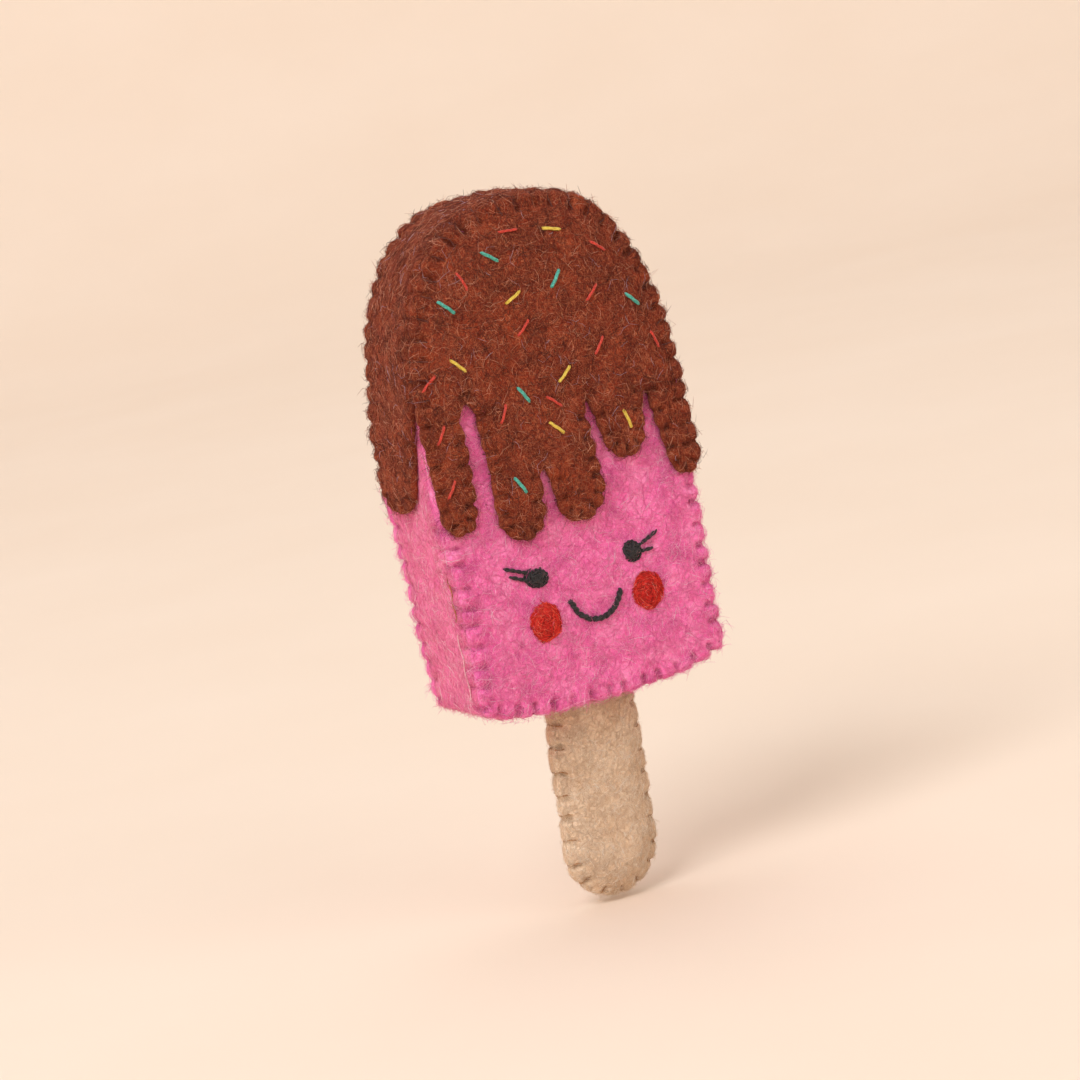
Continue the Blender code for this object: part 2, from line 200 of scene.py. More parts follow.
bm = bmesh.new()
profile = [(0.0, 0.0), (0.5, 0.0), (FLOOR_FLAT, 0.0)]
for turn in np.linspace(0.1, math.pi / 2, 16):
    profile.append((FLOOR_FLAT + FLOOR_CURVE * math.sin(turn), FLOOR_CURVE * (1 - math.cos(turn))))
line = [bm.verts.new((r, 0, z)) for r, z in profile]
edges = [bm.edges.new(pair) for pair in zip(line, line[1:])]
full_turn = {"cent": (0, 0, 0), "axis": (0, 0, 1), "angle": 2 * math.pi, "steps": 96, "use_merge": True}
bmesh.ops.spin(bm, geom=line + edges, **full_turn)
bmesh.ops.remove_doubles(bm, verts=bm.verts, dist=1e-5)
bmesh.ops.recalc_face_normals(bm, faces=bm.faces)
if sum(f.normal.z for f in bm.faces) < 0:
    bmesh.ops.reverse_faces(bm, faces=bm.faces)
floor = piece_from("floor", bm, card)
floor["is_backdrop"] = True
print("floor faces:", len(floor.data.polygons))

# %% [markdown]
# Soft studio light: a large key from the upper left, a weaker fill from the right,
# a top light that gives the felt its bright rims, and a pale world for the rest.

# %% Lights
LIT_PLACE = Vector((0, 0, 0.08))  # the middle of the toy, which every light looks at


def softbox(name, azimuth_deg, elevation_deg, distance, size, watts, colour):
    """A square light, with its side in metres and its power in watts."""
    data = bpy.data.lights.new(name, "AREA")
    data.shape, data.size, data.energy = "SQUARE", size, watts
    data.color = linear(colour)[:3]
    made = bpy.data.objects.new(name, data)
    away = direction(math.radians(azimuth_deg), math.radians(elevation_deg))
    made.location = LIT_PLACE + away * distance
    made.rotation_mode = "QUATERNION"
    made.rotation_quaternion = (-away).to_track_quat("-Z", "Y")
    bpy.context.scene.collection.objects.link(made)
    print(f"{name}: {watts} W over {size} m")


softbox("key_light", -58, 44, 3.0, 1.5, 55.0, "#F4F9FF")
softbox("fill_light", 20, 22, 3.0, 2.2, 26.0, "#F8FBFF")
softbox("top_light", 170, 72, 2.8, 2.0, 21.0, "#F4F9FF")
world = bpy.data.worlds.new("studio_air")
world.use_nodes = True
world.node_tree.nodes["Background"].inputs["Color"].default_value = linear("#FCF7F2")
world.node_tree.nodes["Background"].inputs["Strength"].default_value = 0.45
bpy.context.scene.world = world

# %% [markdown]
# ## The paper patterns
#
# Felt toys start as paper patterns. These are the CAD part's own measures in millimetres,
# with x across the toy and z up. The outline runs anticlockwise from the bottom left corner.

# %% Measures
FELT = 1.6  # thickness of a layer of felt
GAP = 0.3  # air between two layers
LAYER = FELT + GAP
STITCH = 4.2  # from one whip stitch to the next
BASE, BASE_HALF, SHOULDER, SHOULDER_HALF = 49.0, 28.6, 101.0, 29.5
ARCH_RISE, ARCH_POWER, BOTTOM_BOW, BOW_POWER = 48.1, 0.8, 4.2, 0.8
EDGE_Y = 9.35  # from the middle to the outer face of a pink panel at its edge
DEEPER = 1.9  # the strip is cut this much wider on each side of its middle line near the base


def smooth_step(share):
    """An S curve from 0 to 1."""
    share = np.clip(share, 0, 1)
    return share * share * (3 - 2 * share)


def deeper(z):
    """How much further apart than at the top the two seams are at this height."""
    return DEEPER * smooth_step((108 - np.asarray(z, float)) / 30)


def outline(out=0.0):
    """The body's edge seen from the front, this far outside the seam line."""
    base, shoulder, low = BASE_HALF + out, SHOULDER_HALF + out, BASE - out
    across = -np.cos(np.linspace(0, np.pi, 91))
    bottom = np.c_[base * across, low - BOTTOM_BOW * (1 - np.abs(across) ** 3) ** BOW_POWER]
    share = np.linspace(0, 1, 60)[1:-1]
    right = np.c_[base + (shoulder - base) * share, low + (SHOULDER - low) * share]
    turn = np.linspace(0, np.pi, 181)
    arch_x = shoulder * np.sign(np.cos(turn)) * np.abs(np.cos(turn)) ** ARCH_POWER
    arch = np.c_[arch_x, SHOULDER + (ARCH_RISE + out) * np.abs(np.sin(turn)) ** ARCH_POWER]
    return np.r_[bottom, right, arch, (right * (-1, 1))[::-1]]


def evenly(points, step):
    """The same line with its points evenly spaced: points, distances along it, and normals to its right."""
    ends = np.r_[0, np.cumsum(np.hypot(*np.diff(points, axis=0).T))]
    count = max(2, int(round(ends[-1] / step)) + 1)
    along = np.linspace(0, ends[-1], count)
    even = np.c_[np.interp(along, ends, points[:, 0]), np.interp(along, ends, points[:, 1])]
    tangent = np.gradient(even, axis=0)
    tangent /= np.hypot(*tangent.T)[:, None]
    return even, along, np.c_[tangent[:, 1], -tangent[:, 0]]


edge_line = evenly(np.r_[outline(), outline()[:1]], 0.4)
edge_length = edge_line[1][-1]
print("round the body:", round(edge_length, 1), "mm")

# %% [markdown]
# The lower edge of the coat is a row of round drips with narrow gaps. Each gap is a V that
# closes to a small round notch, as scissors leave it. The back has its own drips, and the outer
# drips are cut a little slimmer than in the CAD.

# %% Drip lines
# A drip is (middle x, half width, tip z), and a gap is (x, z, radius) of the notch at its top.
FRONT_DRIPS = ((-25.3, 3.9, 85.8), (-12.4, 5.2, 81.6), (1.2, 5.8, 82.4), (14.1, 5.5, 92.5), (27.4, 3.9, 86.0))
FRONT_GAPS = ((-20.2, 111.6, 1.7), (-6.1, 96.3, 0.5), (6.6, 106.2, 0.6), (20.5, 106.4, 0.6))
BACK_DRIPS = ((-25.4, 3.4, 88.0), (-13.0, 5.0, 95.0), (0.6, 5.2, 84.0), (14.2, 4.8, 88.0), (27.0, 4.8, 89.0))
BACK_GAPS = ((-20.0, 107.0, 0.8), (-6.3, 104.0, 0.6), (7.6, 100.0, 0.9), (20.6, 108.0, 0.7))


def drip_line(drips, gaps):
    """The lower edge of the coat, from left to right."""
    points = []
    for i, (middle, half, tip) in enumerate(drips):
        turn = np.linspace(0, np.pi, 17)
        points += list(zip(middle - half * np.cos(turn), tip + 1.15 * half * (1 - np.sin(turn))))
        if i < len(gaps):
            x, z, notch = gaps[i]
            turn = np.linspace(0, np.pi, 9)
            points += list(zip(x - notch * np.cos(turn), z - 1.6 * notch * (1 - np.sin(turn))))
    return np.array(points)


COAT_OUT = 1.5  # how far the coat's edge lies outside the pink seam line


def coat_contour(drips, gaps):
    """The whole coat panel: the drips below, and the outline above, a layer outside the pink.

    Down each side the edge draws in to the outer drip, which lies close to the pink seam.
    """
    line = drip_line(drips, gaps)
    even, _, normal = edge_line
    drawn = smooth_step((120 - even[:, 1]) / 28)
    ends = np.where(even[:, 0] < 0, 0, -1)
    inside = np.interp(line[ends, 1], (BASE, SHOULDER), (BASE_HALF, SHOULDER_HALF)) - np.abs(line[ends, 0])
    around = even + normal * (COAT_OUT - drawn * (COAT_OUT + inside))[:, None]
    lowest = np.where(around[:, 0] > 0, line[-1, 1], line[0, 1]) + 0.6
    above = around[around[:, 1] > lowest]
    return np.r_[line, above]


front_drip_line = drip_line(FRONT_DRIPS, FRONT_GAPS)
back_drip_line = drip_line(BACK_DRIPS, BACK_GAPS)
print("drip line points:", len(front_drip_line), len(back_drip_line))

# %% [markdown]
# ## Cutting felt
#
# Every felt piece is cut flat first: a contour, pushed up to the thickness of the cloth, then given
# an even fine mesh by a voxel remesh and a few rounds of smoothing, which soften the cut edges.
# In the flat piece x and z lie in the cloth and y runs through it, from 0 inside to 1.6 outside.

# %% Cut a flat piece of felt
GRID = 0.52  # size of the mesh's cells in mm, fine enough for the dent of one stitch


def flat_slab(contour, low_y, high_y):
    """A contour pushed up to a thickness, as a bmesh."""
    bm = bmesh.new()
    face = bm.faces.new([bm.verts.new((x, low_y, z)) for x, z in contour])
    grown = bmesh.ops.extrude_face_region(bm, geom=[face])["geom"]
    far_side = [part for part in grown if isinstance(part, bmesh.types.BMVert)]
    bmesh.ops.translate(bm, vec=(0, high_y - low_y, 0), verts=far_side)
    bmesh.ops.recalc_face_normals(bm, faces=bm.faces)
    return bm


def even_mesh(source, cutter=None, cell=GRID, rounds=5):
    """The closed mesh of a scratch object, remade in even cells and smoothed."""
    if cutter:
        cut = source.modifiers.new("slot", "BOOLEAN")
        cut.operation, cut.object, cut.solver = "DIFFERENCE", cutter, "EXACT"
    even = source.modifiers.new("even cells", "REMESH")
    even.mode, even.voxel_size = "VOXEL", cell
    graph = bpy.context.evaluated_depsgraph_get()
    bm = bmesh.new()
    bm.from_mesh(source.evaluated_get(graph).to_mesh())
    every_way = {"use_axis_x": True, "use_axis_y": True, "use_axis_z": True}
    for _ in range(rounds):
        bmesh.ops.smooth_vert(bm, verts=bm.verts, factor=0.5, **every_way)
    for scratch in (source, cutter):
        if scratch:
            bpy.data.objects.remove(scratch)
    return bm


def cut_felt(name, contour, hole=None):
    """A flat piece of felt as a bmesh, with an optional hole."""
    plain = new_material("scratch", {})[0]
    source = piece_from(name + "_scratch", flat_slab(contour, 0, FELT), plain)
    cutter = piece_from(name + "_hole", flat_slab(hole, -1, FELT + 1), plain) if hole is not None else None
    bm = even_mesh(source, cutter)
    bpy.data.materials.remove(plain)
    (x, z), (next_x, next_z) = contour.T, np.roll(contour, 1, axis=0).T
    area = abs(np.dot(x, next_z) - np.dot(z, next_x)) / 2
    print(f"{name}: {len(bm.verts)} points, {area:.0f} mm2 of felt")
    return bm, area


# %% [markdown]
# ## Stitches pull the felt in
#
# A whip stitch wraps the edge of the cloth and pulls it down. Between two stitches the
# stuffing pushes the felt out again, so a sewn edge is a row of small pillows with a
# dimple where each thread goes in. The places of the stitches are settled here once, and every
# piece along a seam reads the same ones. A hand never spaces them quite evenly.

# %% Stitch places and the pull
hand = np.random.default_rng(41)


def stitch_places(start, end, step=STITCH):
    """Distances along a seam where a stitch is made, and how tight each one is."""
    count = int(round((end - start) / step))
    along = np.linspace(start, end, count) + hand.uniform(-0.5, 0.5, count)
    return np.c_[along, hand.uniform(0.55, 1.1, count)]


def line_tree(points):
    """A search tree over the points of a line."""
    tree = kdtree.KDTree(len(points))
    for i, (x, z) in enumerate(points):
        tree.insert((x, z, 0), i)
    tree.balance()
    return tree


def along_line(line, flat):
    """For each flat point: its distance along the line, and how far it lies to the line's left."""
    even, along, normal = line
    tree = line_tree(even)
    found = np.array([tree.find((x, z, 0))[1] for x, z in flat])
    gap = flat - even[found]
    side = -np.sign((gap * normal[found]).sum(1))
    return along[found], side * np.hypot(*gap.T), normal[found]


def pull_of(along, inset, places, loop=None, width=0.75, reach=2.8):
    """How hard the stitches pull at each point, from 0 to about 1.

    Each stitch makes a groove of this width, from the edge to the needle hole, which is reach mm in.
    """
    gap = along[:, None] - places[None, :, 0]
    if loop:
        gap = (gap + loop / 2) % loop - loop / 2
    near = np.abs(gap).argmin(1)
    off, tight = gap[np.arange(len(along)), near], places[near, 1]
    fade = np.clip((reach + 0.6 - inset) / 1.6, 0, 1) * np.clip((inset + 2.5) / 1.0, 0, 1)
    groove = np.exp(-((off / width) ** 2)) * 0.75 * fade
    hole = np.exp(-((off / 0.75) ** 2) - ((inset - reach) / 0.75) ** 2)
    return np.clip(tight * (groove + 0.8 * hole), 0, 1.2)


corner = {  # distances along the body's edge, from the bottom left corner
    "right_drip": edge_line[1][(edge_line[0][:, 0] > 0) & (edge_line[0][:, 1] > 88)].min(),
    "left_drip": edge_line[1][(edge_line[0][:, 0] < 0) & (edge_line[0][:, 1] > 88)].max(),
}
pink_places = stitch_places(corner["left_drip"] - edge_length, corner["right_drip"])
pink_places[:, 0] %= edge_length
coat_places = stitch_places(corner["right_drip"] + 4, corner["left_drip"] - 4)
front_drip_even = evenly(front_drip_line, 0.4)
back_drip_even = evenly(back_drip_line, 0.4)
DRIP_STITCH = 3.9  # the stitches round the drips are a little closer
drip_places = {
    "front": stitch_places(3.0, front_drip_even[1][-1] - 3.0, DRIP_STITCH),
    "back": stitch_places(3.0, back_drip_even[1][-1] - 3.0, DRIP_STITCH),
}
print("stitches:", len(pink_places), len(coat_places), len(drip_places["front"]), len(drip_places["back"]))

# %% [markdown]
# ## Laying the felt over the toy
#
# The stuffing domes a panel: it rises quickly from the seam and is nearly flat in the middle.
# The last step moves every point of every piece by one smooth field, so that the whole toy is a
# little uneven, as handwork is, while pieces that touch stay together.

# %% The dome and the uneven hand
noise.seed_set(341)  # without a seed the vector noise starts from the clock, and no two runs are alike


PANEL_DOME = 2.55  # how far the stuffing lifts the middle of a body panel


def dome(inset, height=PANEL_DOME, reach=12.0, power=2.3):
    """How far a stuffed panel has risen this far in from its seam."""
    return height * (1 - (1 - np.clip(inset, 0, reach) / reach) ** power)


def field(points, size, seed):
    """A smooth vector field with bumps of about this size in mm."""
    shift = Vector((seed * 7.3, seed * 3.1, seed * 5.7))
    return np.array([noise.noise_vector(Vector(p) / size + shift) for p in points])


def lumps(points, size, seed):
    """One value of a smooth field, about -1 to 1."""
    shift = Vector((seed * 7.3, seed * 3.1, seed * 5.7))
    return np.array([noise.noise(Vector(p) / size + shift) for p in points])


BACK_BULGE, FRONT_BULGE = 1.5, 0.9  # how far the left side bulges at its back seam and at its front seam


def settle(points):
    """The shared unevenness of the toy, which fades out at the foot of the stick."""
    x, y, z = points.T
    steady = np.clip(z / 25.0, 0.0, 1.0)[:, None]
    moved = points + steady * (0.85 * field(points, 24.0, 1) + 0.4 * field(points, 9.0, 2))
    left = smooth_step((-x - 12) / 14)
    back = smooth_step((y + 6) / 14)
    at_back = back * smooth_step((z - 50) / 20) * smooth_step((125 - z) / 30)
    at_front = (1 - back) * np.exp(-(((z - 92) / 10) ** 2))
    moved[:, 0] -= left * (BACK_BULGE * at_back + FRONT_BULGE * at_front)
    return moved


felts = {}  # finished felt meshes by name, for the threads and fibres that go on them


def put_back(bm, points):
    """Writes points in mm back to a mesh, in metres."""
    for vert, point in zip(bm.verts, points):
        vert.co = point * MM


def take_place(made, node):
    """The piece rides on the toy's one body and takes the place of its CAD node."""
    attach(made, "root")
    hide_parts(node)


def finish_felt(name, bm, laid, material, node, flat):
    points, through, painted_seam_shade = laid
    put_back(bm, settle(points))
    if bm.calc_volume(signed=True) < 0:
        bmesh.ops.reverse_faces(bm, faces=bm.faces)
    made = piece_from(name, bm, material)
    # The pull of the stitches and the seam channel are kept on each point to paint shade into the felt's
    # colour.
    note = made.data.attributes.new("painted_seam_shade", "FLOAT", "POINT")
    note.data.foreach_set("value", np.asarray(painted_seam_shade, np.float32))
    felts[name] = (made, through)
    take_place(made, node)
    print(f"{name}: cut from {flat[0]:.1f} x {flat[1]:.1f} mm")


# %% [markdown]
# ## Felt as a material
#
# Craft felt is wool or acrylic fibre matted by needles and steam, with no weave. The eye gets a dry,
# matt cloth with a soft pale edge, which is its sheen, and a tangle of fine hairs that are a
# little lighter and darker than each other. Hairs are about 0.03 mm thick, which is too fine
# to show, so the tangle here is drawn about 0.2 mm wide and 3 mm long, with painted shade in the
# gaps between hairs. Stitched places and seam channels get painted shade, darker where shade gathers.

# %% Felt material
FIBRE_TURNS = ((0, 0.25, 0.1), (0, 1.1, 0.5), (0, -0.9, -0.3), (0, -0.2, 1.2), (0, 1.35, -0.8))
HAIR_LONG, HAIR_WIDE = 2.8, 0.17  # the size of a drawn hair in mm
CURL_SIZE, CURL_BY = 3.0, 1.8  # hairs curl over this length, and are pushed aside by this much, in mm
TUFT = 6.0  # size in mm of the lighter and darker patches
DRY_CLOTH = {"Roughness": 0.95, "Specular IOR Level": 0.12, "Sheen Weight": 0.06, "Sheen Roughness": 0.5}


def felt_material(name, tones, pale, bump, contrast, spread=0.3):
    """Felt in three tones from dark to light, with pale hairs over them, painted shade in the gaps between
    them, and painted shade at the stitches and seams.
    """
    made, tree, shader = new_material(name, DRY_CLOTH)
    place = add_node(tree, "ShaderNodeTexCoord").outputs["Object"]
    # Bending the space first makes the hairs curl.
    swirl = add_node(
        tree, "ShaderNodeTexNoise",
        inputs={"Scale": 1 / (CURL_SIZE * MM), "Detail": 1.0}, links={"Vector": place},
    ).outputs["Color"]
    curled = add_node(
        tree, "ShaderNodeVectorMath", {"operation": "MULTIPLY_ADD"},
        {1: (CURL_BY * MM,) * 3}, {0: swirl, 2: place},
    ).outputs["Vector"]
    # Each layer of hairs is one stretched noise, turned its own way.
    hair_size = (HAIR_LONG * MM, HAIR_WIDE * MM, HAIR_WIDE * MM)
    over = under = None
    for turn in FIBRE_TURNS:
        turned = add_node(
            tree, "ShaderNodeMapping", {"vector_type": "TEXTURE"},
            {"Rotation": turn, "Scale": hair_size}, {"Vector": curled},
        ).outputs["Vector"]
        strand = add_node(
            tree, "ShaderNodeTexNoise", inputs={"Scale": 1.0, "Detail": 1.0}, links={"Vector": turned}
        ).outputs["Fac"]
        if over is None:
            over = under = strand
        else:
            highest = add_node(tree, "ShaderNodeMath", {"operation": "MAXIMUM"}, links={0: over, 1: strand})
            lowest = add_node(tree, "ShaderNodeMath", {"operation": "MINIMUM"}, links={0: under, 1: strand})
            over, under = highest.outputs[0], lowest.outputs[0]
    raised = add_node(
        tree, "ShaderNodeMapRange", inputs={"From Min": 0.6, "From Max": 0.8}, links={"Value": over}
    ).outputs["Result"]
    sunk = add_node(
        tree, "ShaderNodeMapRange", inputs={"From Min": 0.38, "From Max": 0.2}, links={"Value": under}
    ).outputs["Result"]
    patch = add_node(
        tree, "ShaderNodeTexNoise",
        inputs={"Scale": 1 / (TUFT * MM), "Detail": 3.0, "Roughness": 0.55}, links={"Vector": place},
    )
    tone = add_node(tree, "ShaderNodeValToRGB", links={"Fac": patch.outputs["Fac"]})
    colour_stops(tone, list(zip((0.5 - spread, 0.5, 0.5 + spread), tones)))
    # Three layers over the tone: the pale hairs, painted shade in the gaps between hairs, and painted shade at
    # the stitches and seam channels.
    pale_share = add_node(tree, "ShaderNodeMath", {"operation": "MULTIPLY"}, {1: 0.55 * contrast}, {0: raised})
    gap_share = add_node(tree, "ShaderNodeMath", {"operation": "MULTIPLY"}, {1: 0.45 * contrast**2}, {0: sunk})
    # Painted shade at the stitches and along the seam channels, read from a value kept on each point of the
    # mesh.
    painted_seam_shade = add_node(tree, "ShaderNodeAttribute", {"attribute_name": "painted_seam_shade"}).outputs["Fac"]
    shade_share = add_node(
        tree, "ShaderNodeMapRange",
        inputs={"From Min": 0.15, "From Max": 1.1, "To Max": 0.62}, links={"Value": painted_seam_shade},
    )
    # Painted shade: one dark tone, 40 % of the darkest felt tone, for the gaps between hairs and for the
    # stitches.
    painted_shade_tone = [value * 0.4 for value in linear(tones[0])[:3]] + [1.0]
    colour = tone.outputs["Color"]
    for layer, share in ((linear(pale), pale_share), (painted_shade_tone, gap_share), (painted_shade_tone, shade_share)):
        colour = add_node(
            tree, "ShaderNodeMix", {"data_type": "RGBA"},
            {"B": layer}, {"A": colour, "Factor": share.outputs[0]},
        ).outputs["Result"]
    tree.links.new(colour, shader.inputs["Base Color"])
    relief = add_node(tree, "ShaderNodeMath", {"operation": "SUBTRACT"}, links={0: raised, 1: sunk})
    bumped = add_node(
        tree, "ShaderNodeBump",
        inputs={"Strength": bump, "Distance": 0.2 * MM}, links={"Height": relief.outputs[0]},
    )
    tree.links.new(bumped.outputs["Normal"], shader.inputs["Normal"])
    return made


pink_tones, side_tones = ("#CC4C90", "#F26CB0", "#FA90C4"), ("#D25890", "#E86CA0", "#F08AB4")
brown_tones, beige_tones = ("#521A0D", "#7A2A18", "#94391E"), ("#C6A27E", "#D8BC9E", "#E4CEB4")
pink_felt = felt_material("pink_craft_felt", pink_tones, "#FFD0E6", 0.2, 0.9, 0.2)
salmon_felt = felt_material("pink_craft_felt_side", side_tones, "#FFCADC", 0.2, 0.8)
brown_felt = felt_material("chocolate_craft_felt", brown_tones, "#D88A62", 0.35, 1.35, 0.26)
beige_felt = felt_material("beige_craft_felt", beige_tones, "#FFF4E8", 0.1, 0.7)
print("felts:", pink_felt.name, salmon_felt.name, brown_felt.name, beige_felt.name)

# %% [markdown]
# ## The pink cover
#
# Two arched panels, front and back, are joined by a strip round the sides and top and a short
# strip underneath, where the stick goes in. A panel's thickness is squeezed under each stitch, its
# edge is pulled inwards there, and between stitches it swells a little.

# %% Lay a body panel
def lay_panel(bm, side, base_y, out, seam_places, reach, drips=None, drip_side=None, bare=None):
    """A flat panel laid on the front (side -1) or the back (side 1) of the body.

    base_y is how far the inner face of its edge lies from the middle, and out is how far its edge lies
    outside the body's outline. It returns the points, their place in the cloth's thickness, and the pull.
    """
    flat = np.array([v.co for v in bm.verts])
    through = np.clip(flat[:, 1] / FELT, 0, 1)
    along, inset, normal = along_line(edge_line, flat[:, [0, 2]])
    pull = pull_of(along, inset + out, seam_places, edge_length, reach=reach)
    if bare is not None:
        pull = pull * bare(flat)
    grip = np.exp(-(((inset + out) / 2.4) ** 2))
    across = -normal * (pull * 0.55 - 0.34 * (1 - np.clip(pull, 0, 1)))[:, None] * grip[:, None]
    swell = 0.4 * (1 - np.clip(pull, 0, 1)) * np.exp(-((inset + out - 1.3) / 1.4) ** 2)
    if drips is not None:
        s2, d2, n2 = along_line(drips, flat[:, [0, 2]])
        pull2 = pull_of(s2, d2, drip_places[drip_side], width=0.8, reach=2.1)
        grip2 = np.exp(-((d2 / 1.6) ** 2))
        across -= n2 * (pull2 * 0.5 - 0.12 * (1 - np.clip(pull2, 0, 1)))[:, None] * grip2[:, None]
        swell += 0.28 * (1 - np.clip(pull2, 0, 1)) * np.exp(-((d2 - 1.5) / 1.4) ** 2)
        pull = np.maximum(pull, pull2)
    shape = np.c_[flat[:, 0], np.zeros(len(flat)), flat[:, 2]]
    fine = 0.07 if drips is not None else 0.03  # the chocolate felt is the rougher one
    rough = 0.16 * lumps(shape, 4.2, 3 + side) + fine * lumps(shape, 1.6, 5 + side)
    rounding = 0.3 * np.clip(1 - (inset + out) / 1.6, 0, 1) ** 2
    height = through * FELT * (1 - 0.6 * np.clip(pull, 0, 1.1) - rounding) + through * (swell + rough)
    more = deeper(flat[:, 2])  # where the body is deeper its face is flatter
    laid_y = side * (base_y + more + dome(inset) * (1 - more / PANEL_DOME) + height)
    laid = np.c_[flat[:, 0] + across[:, 0], laid_y, flat[:, 2] + across[:, 1]]
    # The pull is also kept as the painted shade at the stitches.
    return laid, through, pull


def below_coat(tip):
    """The pink seams stop where the coat covers them."""
    return lambda flat: np.clip((tip + 2 - flat[:, 2]) / 3, 0, 1)


PINK_STITCH, COAT_STITCH = 2.1, 2.8  # how far in from the edge the needle goes through, in mm
for name, side, node in (("pink_front", -1, "front_panel"), ("pink_back", 1, "back_panel")):
    contour = outline()
    bm, area = cut_felt(name, contour)
    laid = lay_panel(bm, side, EDGE_Y - FELT, 0.0, pink_places, PINK_STITCH, bare=below_coat(88))
    size = np.ptp(contour, axis=0)
    finish_felt(name, bm, laid, pink_felt, node, size)

# %% [markdown]
# The strips are cut as long bands and bent round the edge of the body, which is a change of
# coordinates: the distance along the band becomes a place on the outline, and the width of the band
# becomes depth, from front to back.

# %% Lay a strip round the edge
def lay_strip(bm, half, inner, seam_places, reach, ends=None, end_places=None, belly=0.5):
    """A flat band bent round the outline. inner is the height of its inner face above the seam line."""
    flat = np.array([v.co for v in bm.verts])
    even, along, normal = edge_line
    s, t = flat[:, 0], flat[:, 2]
    through = np.clip(flat[:, 1] / FELT, 0, 1)
    where = s % edge_length
    x, z = (np.interp(where, along, even[:, i]) for i in (0, 1))
    nx, nz = (np.interp(where, along, normal[:, i]) for i in (0, 1))
    half = half + deeper(z)
    inset = half - np.abs(t)
    pull = pull_of(s, inset, seam_places, reach=reach)
    swell = 0.25 * (1 - np.clip(pull, 0, 1)) * np.exp(-((inset - 1.8) / 1.7) ** 2)
    narrow = np.sign(t) * (0.4 * pull) * np.exp(-((inset / 1.8) ** 2))
    if ends is not None:
        s2, d2, n2 = along_line(ends, flat[:, [0, 2]])
        pull2 = pull_of(s2, d2, end_places, width=0.8, reach=2.1)
        pull = np.maximum(pull, pull2)
        swell += 0.22 * (1 - np.clip(pull2, 0, 1)) * np.exp(-((d2 - 1.5) / 1.4) ** 2)
        inset = np.minimum(inset, d2 + 0.4)
    shape = np.c_[x, t, z]
    fine = 0.07 if ends is not None else 0.03
    rough = 0.16 * lumps(shape, 4.2, 8) + fine * lumps(shape, 1.6, 9)
    rounding = 0.28 * np.clip(1 - inset / 1.6, 0, 1) ** 2
    round_out = belly * (1 - (np.abs(t) / half) ** 2)  # the stuffing rounds the strip too
    # Painted shade: the strip's colour is darkened along the seam channel beside it, and at the stitches by
    # the pull.
    shadow = 0.5 * np.exp(-((half - np.abs(t)) / 0.9) ** 2)  # the seam beside it is a dark channel
    thick = through * FELT * (1 - 0.55 * np.clip(pull, 0, 1.1) - rounding)
    height = inner + round_out + thick + through * (swell + rough)
    laid = np.c_[x + nx * height, t - narrow, z + nz * height]
    return laid, through, np.maximum(pull, shadow)


def band(start, end, half):
    """The flat contour of a strip, with a point every millimetre, wider where the body is deeper."""
    s = np.linspace(start, end, int(abs(end - start)))
    wide = half + deeper(np.interp(s % edge_length, edge_line[1], edge_line[0][:, 1]))
    return np.r_[np.c_[s, -wide], np.c_[s[::-1], wide[::-1]]]


strip_half = EDGE_Y - FELT + 0.25  # the smoothed edge then just meets the panel beside it
strip_width = 2 * (strip_half + DEEPER)
BOTTOM_SPAN = 27.2  # the bottom strip ends this far from the middle, near the corners
under_side = np.where((edge_line[0][:, 1] < BASE + 1) & (edge_line[1] < edge_length / 3))[0]


def under_at(x):
    """The distance along the outline where the underside passes this x."""
    return edge_line[1][under_side[np.abs(edge_line[0][under_side, 0] - x).argmin()]]


bottom_from, bottom_to = under_at(-BOTTOM_SPAN), under_at(BOTTOM_SPAN)
print("the bottom strip runs from", round(bottom_from, 1), "to", round(bottom_to, 1))

start, end = bottom_to, bottom_from + edge_length
bm, area = cut_felt("pink_side_strip", band(start, end, strip_half))
side_places = np.r_[pink_places, pink_places + (edge_length, 0)]
laid = lay_strip(bm, strip_half, -FELT, side_places, PINK_STITCH)
size = (end - start, strip_width)
finish_felt("pink_side_strip", bm, laid, salmon_felt, "side_gusset", size)

# %% [markdown]
# The strip underneath has a slot for the stick, cut through the flat felt before it is bent.

# %% Bottom strip
start, end = bottom_from + GAP, bottom_to - GAP
SLOT_SHIFT, SLOT_HALF, SLOT_DEPTH = 1.3, 9.9, 4.9  # right of the middle, half its length, half its depth
slot_x = (start + end) / 2 + SLOT_SHIFT
corners = np.array([(-1, -1), (1, -1), (1, 1), (-1, 1)])
slot = corners * (SLOT_HALF, SLOT_DEPTH) + (slot_x, 0)
bm, area = cut_felt("pink_bottom_strip", band(start, end, strip_half), slot)
laid = lay_strip(bm, strip_half, -FELT, pink_places, PINK_STITCH)
size = (end - start, strip_width)
node = "bottom_gusset"
finish_felt("pink_bottom_strip", bm, laid, salmon_felt, node, size)

# %% [markdown]
# ## The chocolate coat
#
# The coat is a second layer of felt over the pink one: a front, a back, and a strip over the
# top with a round drip down each side. Its lower edges are whip stitched to the pink felt.

# %% Coat panels
for name, side, node, drips, gaps, even in (
    ("chocolate_front_felt", -1, "chocolate_front", FRONT_DRIPS, FRONT_GAPS, front_drip_even),
    ("chocolate_back_felt", 1, "chocolate_back", BACK_DRIPS, BACK_GAPS, back_drip_even),
):
    word = "front" if side < 0 else "back"
    contour = coat_contour(drips, gaps)
    bm, area = cut_felt(name, contour)
    laid = lay_panel(bm, side, EDGE_Y + GAP, COAT_OUT, coat_places, COAT_STITCH, even, word)
    size = np.ptp(contour, axis=0)
    finish_felt(name, bm, laid, brown_felt, node, size)

